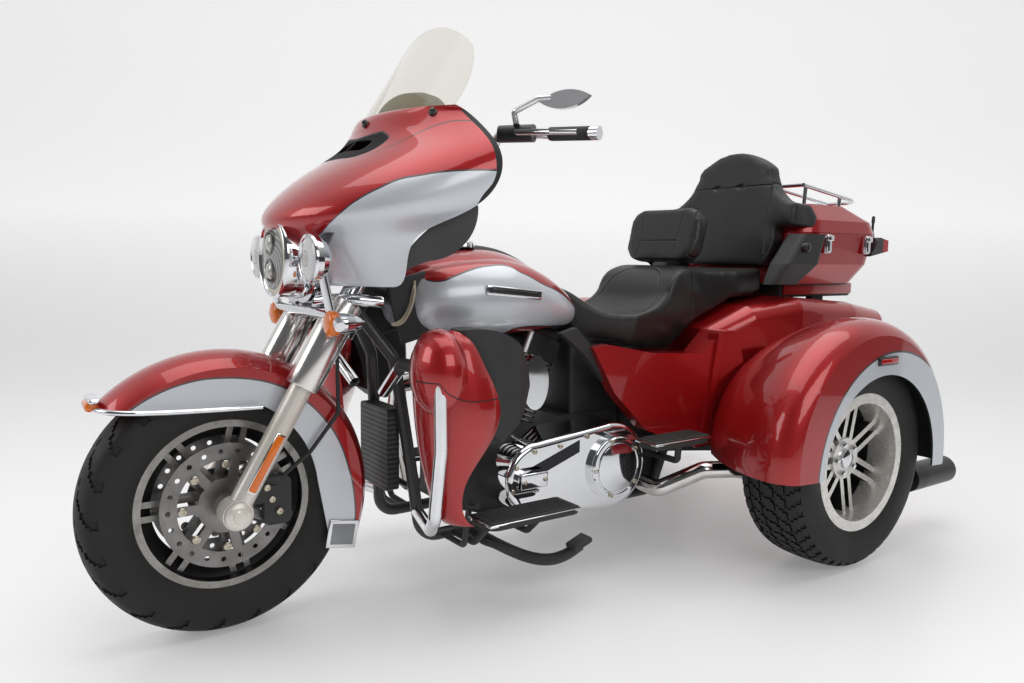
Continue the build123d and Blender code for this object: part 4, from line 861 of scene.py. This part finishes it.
# The fairing nose webs: the shell's own moulded returns on each side of the headlamp,
# painted with it, that close the opening behind the passing lamps.
web = slab((0.052, 0.006, 0.056), (0.782, 0.122, 0.955), 0.0025, 3)
pair(web, "fairing_nose_web", fairing_paint, "steering")

# The front fender trim: a plated rail along each side that meets at a small amber
# lamp on the tip, and a framed plate on the tail.
def tube(points, radius, roundness=4):
    drawn(points)
    close_mesh()
    bpy.ops.object.convert(target="CURVE")
    curve = bpy.context.object.data
    line = curve.splines[0]
    line.type, line.order_u, line.use_endpoint_u = "NURBS", 3, True
    curve.bevel_depth, curve.bevel_resolution, curve.use_fill_caps = radius, roundness, True
    bpy.ops.object.convert(target="MESH")
    weld()
    return bpy.context.object


rail_side = [(0.945, 0.104, 0.553), (1.04, 0.1055, 0.556), (1.169, 0.1035, 0.561), (1.245, 0.094, 0.5655),
    (1.283, 0.062, 0.568), (1.296, 0.0, 0.5685)]
rail = tube(rail_side + [(px, -py, pz) for px, py, pz in rail_side[-2::-1]], 0.0062)
settle(rail, "front_fender_rail", chrome, "steering", 50)
tip = slab((0.026, 0.072, 0.021), (1.2935, 0.0, 0.5735), 0.008, 4)
settle(tip, "front_fender_lamp", amber, "steering", 50)
tip_shell = slab((0.024, 0.088, 0.012), (1.288, 0.0, 0.587), 0.0055, 3)
settle(tip_shell, "front_fender_lamp_shell", chrome, "steering", 50)
plate_grey = finish("plate_grey", (0.3, 0.31, 0.32), (0.24, 0.25, 0.26), 0.4, (0.35, 0.45), 0.2, 12.0, 500.0, 0.06)
for side, label in sides:
    block("fender_tail_frame_" + label, chrome, "steering", "chrome", (0.08, 0.005, 0.072),
        (0.743, side * 0.0895, 0.203), 0.0022, 3, -10)
    block("fender_tail_plate_" + label, plate_grey, "steering", "chrome", (0.062, 0.005, 0.054),
        (0.743, side * 0.091, 0.203), 0.002, 2, -10)

# The brake caliper bolts and disc bobbins: plated steel fasteners, one shape copied
# round each fitting.
def round_circle(radius, count, out=0.0):
    turns = [k * math.tau / count for k in range(1, count)]
    return [(radius * (math.cos(turn) - 1), out, radius * math.sin(turn)) for turn in turns]


bobbin_radius, caliper_spots = 0.1, [(-0.03, 0.0, -0.062), (-0.012, 0.0, -0.03)]
bobbin_circle = round_circle(bobbin_radius, 8)
bolt_steel = finish("bolt_steel", (0.62, 0.58, 0.48), (0.48, 0.43, 0.34), 1.0, (0.2, 0.34), 0.0, 60.0, 500.0, 0.05)
for side, label in sides:
    first = turned([(0.0, 0.0085), (0.005, 0.0082), (0.0062, 0.0068), (0.0062, 0.0042), (0.003, 0.004), (0.003, 0.0)],
        (0.935, side * 0.093, 0.355), (0, side, 0), 12)
    repeated(first, "caliper_bolt_" + label, bolt_steel, "steering", 30, caliper_spots)
    bobbin = turned([(0.0, 0.0105), (0.003, 0.01), (0.004, 0.008), (0.004, 0.005), (0.002, 0.0045), (0.002, 0.0)],
        (front_axle_x + bobbin_radius, side * 0.0555, front_axle_z), (0, side, 0), 14)
    repeated(bobbin, "disc_bobbin_" + label, bolt_steel, "wheel_front", 30, bobbin_circle)

# The windshield bolts: black domed steel fasteners in rubber washers, three along
# the brow, that clamp the screen to the fairing.
bolt_black = finish("bolt_black", (0.02, 0.02, 0.021), (0.035, 0.034, 0.033), 0.4, (0.3, 0.42), 0.2, 60.0, 500.0, 0.1)
for k, (place, way) in enumerate((((0.637, 0.012, 1.2445), (0.62, 0.0, 0.78)),
        ((0.556, 0.2185, 1.2555), (0.5, 0.42, 0.75)), ((0.556, -0.2185, 1.2555), (0.5, -0.42, 0.75))), 1):
    spun("windshield_bolt_%d" % k, bolt_black, "steering", "black_plastic", 40,
        [(-0.002, 0.0115), (0.003, 0.011), (0.004, 0.008), (0.009, 0.0072), (0.0115, 0.005), (0.012, 0.0)], place,
        way, 18)

# The tank fittings: a black console along the ridge, a plated filler cap, and a bare
# bright bar on each side.
console = tube([(0.459, 0.0, 0.903), (0.38, 0.0, 0.918), (0.3, 0.0, 0.919), (0.219, 0.0, 0.907), (0.139, 0.0, 0.874),
    (0.08, 0.0, 0.83), (0.04, 0.0, 0.796)], 0.026, 5)
settle(console, "tank_console", grained_black, "chassis", 60)
spun("tank_filler_cap", chrome, "chassis", "chrome", 40, [(-0.006, 0.04), (0.006, 0.04), (0.011, 0.037),
    (0.013, 0.031), (0.0125, 0.02), (0.014, 0.017), (0.0145, 0.0)], (0.345, 0.0, 0.941), (0.02, 0, 1), 40)
for side, label in sides:
    block("tank_bar_" + label, chrome, "chassis", "chrome", (0.182, 0.0075, 0.026), (0.288, side * 0.1905, 0.8155),
        0.0034, 3, -5.5)
    block("tank_bar_inset_" + label, bolt_black, "chassis", "black_plastic", (0.148, 0.0075, 0.0125),
        (0.288, side * 0.193, 0.8155), 0.0025, 2, -5.5)

# The primary cover fittings: a domed clutch cover with a turned edge, an oval chain
# cover and the socket screws that hold all three.
clutch_x, clutch_z, screw_radius = -0.028, 0.308, 0.083
first_x = clutch_x + screw_radius
spun("clutch_cover_dome", chrome, "chassis", "chrome", 28, [(-0.002, 0.09), (0.004, 0.0905), (0.007, 0.0875),
    (0.0072, 0.08), (0.004, 0.0775), (0.004, 0.074), (0.008, 0.072), (0.0115, 0.05), (0.0135, 0.025), (0.014, 0.0)],
    (clutch_x, 0.266, clutch_z), (0, 1, 0), 72)
screw = turned([(-0.002, 0.007), (0.005, 0.007), (0.0062, 0.006), (0.0062, 0.0036), (0.003, 0.0034), (0.003, 0.0)],
    (first_x, 0.268, clutch_z), (0, 1, 0), 14)
repeated(screw, "clutch_cover_screw", bolt_steel, "chassis", 30, round_circle(screw_radius, 5, 0.004))
rim_spots = [(0.318, 0.35), (0.326, 0.285), (0.268, 0.238), (0.16, 0.218), (0.17, 0.392), (0.258, 0.388),
    (0.075, 0.408)]
rim_shifts = [(px - first_x, -0.016, pz - clutch_z) for px, pz in rim_spots]
copied(screw, "primary_screw", "chassis", rim_shifts)
oval = slab((0.088, 0.012, 0.044), (0.27, 0.268, 0.314), 0.0055, 4)
settle(oval, "chain_cover", chrome, "chassis", 30)
for k, px in enumerate((0.236, 0.304), 1):
    spun("chain_cover_screw_%d" % k, bolt_steel, "chassis", "chrome", 30,
        [(-0.002, 0.006), (0.003, 0.006), (0.004, 0.0045), (0.0015, 0.003), (0.0015, 0.0)], (px, 0.274, 0.314),
        (0, 1, 0), 14)

# The footboard pads: moulded rubber mats with raised ribs inside a bright metal
# edge, pressed into each board.
rib_rows = 7
for name, place, length, width in (("rider_pad", (0.351, 0.345, 0.264), 0.276, 0.096),
        ("passenger_pad", (-0.171, 0.352, 0.395), 0.218, 0.078)):
    edging = slab((length + 0.01, width + 0.01, 0.007), (place[0], place[1], place[2] - 0.003), 0.003, 3)
    pair(edging, name + "_edge", chrome, "chassis")
    mat = slab((length, width, 0.01), place, 0.0035, 3)
    pair(mat, name, board_rubber, "chassis")
    rib = slab((length * 0.9, 0.0045, 0.005), (place[0], place[1] - width * 0.4, place[2] + 0.0055), 0.0018, 2)
    steps = [(0.0, width * 0.8 * k / (rib_rows - 1), 0.0) for k in range(1, rib_rows)]
    ribs = repeated(rib, name + "_rib_left", board_rubber, "chassis", 40, steps)
    for k, one in enumerate(ribs, 1):
        mirrored(one, name + "_rib_right_%d" % k, "chassis")

# The rear wheel fittings: five plated lug nuts round a plain domed cap, and a dark
# brake disc behind the spokes. A red side marker is let into the fender above.
lug_radius = 0.046
for side, label in sides:
    hub = (rear_axle_x, side * 0.589, rear_axle_z)
    spun("wheel_cap_" + label, chrome, "wheel_" + label, "chrome", 40,
        [(-0.004, 0.029), (0.01, 0.029), (0.015, 0.027), (0.017, 0.022), (0.0185, 0.012), (0.019, 0.0)], hub,
        (0, side, 0), 36)
    nut = turned([(-0.004, 0.0115), (0.012, 0.011), (0.0165, 0.0075), (0.018, 0.0)],
        (hub[0] + lug_radius, hub[1], hub[2]), (0, side, 0), 6)
    repeated(nut, "lug_nut_" + label, chrome, "wheel_" + label, 20, round_circle(lug_radius, 5))
    spun("rear_brake_disc_" + label, bezel_grey, "wheel_" + label, "disc_steel", 30,
        [(-0.004, 0.066), (-0.004, 0.148), (0.004, 0.148), (0.004, 0.066), (-0.004, 0.066)],
        (rear_axle_x, side * 0.505, rear_axle_z), (0, side, 0), 48)
    block("side_marker_frame_" + label, bolt_black, "chassis", "black_plastic", (0.098, 0.012, 0.026),
        (-0.6735, side * 0.6965, 0.628), 0.005, 4)
    block("side_marker_" + label, red_lens, "chassis", "red_lens", (0.086, 0.012, 0.016),
        (-0.6735, side * 0.7, 0.628), 0.005, 4)

# The luggage case fittings: a black slab and red skirts that fill the gap under the
# case, plated over-centre latches, a small rod aerial and a knob on each speaker pod.
for side, label in sides:
    spun("speaker_knob_" + label, bolt_black, "chassis", "black_plastic", 40,
        [(-0.004, 0.017), (0.01, 0.016), (0.014, 0.013), (0.016, 0.008), (0.0165, 0.0)],
        (-0.782, side * 0.326, 0.955), (0, side, 0), 24)
    block("case_belly_side_" + label, plain_red, "chassis", "candy_red", (0.4, 0.01, 0.04),
        (-1.04, side * 0.205, 0.812), 0.003, 2)
    for k, px in enumerate((-0.956, -1.191), 1):
        block("case_latch_%s_%d" % (label, k), chrome, "chassis", "chrome", (0.026, 0.011, 0.062),
            (px, side * 0.2955, 0.972), 0.0045, 3)
        block("case_latch_lever_%s_%d" % (label, k), chrome, "chassis", "chrome", (0.034, 0.01, 0.02),
            (px, side * 0.301, 0.99), 0.004, 3)
block("case_gap_fill", grained_black, "chassis", "black_plastic", (0.42, 0.4, 0.046), (-1.04, 0.0, 0.806), 0.008, 2)
spun("rod_aerial", bolt_black, "chassis", "black_plastic", 40,
    [(-0.004, 0.0085), (0.012, 0.008), (0.014, 0.005), (0.05, 0.0045), (0.052, 0.0062), (0.072, 0.006),
    (0.076, 0.004), (0.077, 0.0)], (-1.298, 0.245, 1.004), (-0.05, 0, 1), 18)

# The dash hood: a moulded black cowl behind the windshield that shades the dials,
# screwed to the top of the inner fairing.
def stretch(share, centre):
    open_mesh()
    bpy.ops.transform.resize(value=share, center_override=centre)
    close_mesh()


hood_place = (0.505, 0.0, 1.262)
hood = turned([(-0.034, 0.15), (-0.02, 0.166), (0.004, 0.172), (0.03, 0.16), (0.044, 0.12), (0.05, 0.06),
    (0.051, 0.0)], hood_place, (1, 0, 0), 56)
stretch((1.0, 1.0, 0.44), hood_place)
open_mesh()
bpy.ops.mesh.bisect(plane_co=(0.505, 0.0, 1.252), plane_no=(0.0, 0.0, 1.0), clear_inner=True, use_fill=True)
close_mesh()
settle(hood, "dash_hood", grained_black, "steering")

# The leg fairing bosses: red mouldings that close the leg fairings round the top of
# the guard hoop.
boss_place = (0.604, 0.336, 0.64)
boss = turned([(-0.062, 0.0), (-0.056, 0.045), (-0.036, 0.074), (0.0, 0.088), (0.03, 0.079), (0.05, 0.055),
    (0.061, 0.024), (0.064, 0.0)], boss_place, (1, 0, 0), 56)
stretch((1.0, 0.97, 1.2), boss_place)
pair(boss, "leg_fairing_boss", leg_paint, "chassis", 60)

# The neck covers and battery box: plain black mouldings that close the space between
# the tank, the frame and the engine, with a loose pair of wires at the neck.
for side, label in sides:
    block("neck_cover_" + label, grained_black, "chassis", "black_plastic", (0.115, 0.014, 0.17),
        (0.548, side * 0.098, 0.776), 0.006, 3, 14)
block("battery_box", wrinkle_black, "chassis", "black_plastic", (0.215, 0.19, 0.25), (-0.095, 0.0, 0.545), 0.012, 3)
wire_cream = finish("wire_cream", (0.52, 0.44, 0.34), (0.4, 0.33, 0.25), 0.0, (0.45, 0.6), 0.0, 40.0, 300.0, 0.1)
for k, lift in enumerate((0.0, 0.012), 1):
    loose = tube([(0.545, 0.106, 0.845 - lift), (0.56, 0.122 + lift, 0.815), (0.572, 0.128 + lift, 0.778),
        (0.592, 0.122, 0.742 - lift), (0.612, 0.108, 0.735)], 0.0034, 4)
    settle(loose, "neck_wire_%d" % k, wire_cream, "chassis", 60)

# The fork nacelle wings and parking pedal: a plated casting each side of the lower
# clamp, and a black pressed pedal arm with a ribbed rubber end by the left board.
wing = tube([(0.8, 0.085, 0.8), (0.76, 0.15, 0.806), (0.712, 0.176, 0.802), (0.674, 0.177, 0.797)], 0.0145, 5)
pair(wing, "fork_wing", chrome, "steering", 60)
arm = tube([(0.41, 0.175, 0.168), (0.36, 0.25, 0.14), (0.29, 0.32, 0.116), (0.222, 0.352, 0.122),
    (0.19, 0.372, 0.15)], 0.013, 4)
stretch((1.0, 1.0, 1.25), (0.3, 0.3, 0.136))
settle(arm, "parking_pedal_arm", grained_black, "chassis", 60)
block("parking_pedal_pad", board_rubber, "chassis", "rubber", (0.06, 0.046, 0.016), (0.192, 0.368, 0.158), 0.005, 3,
    20)
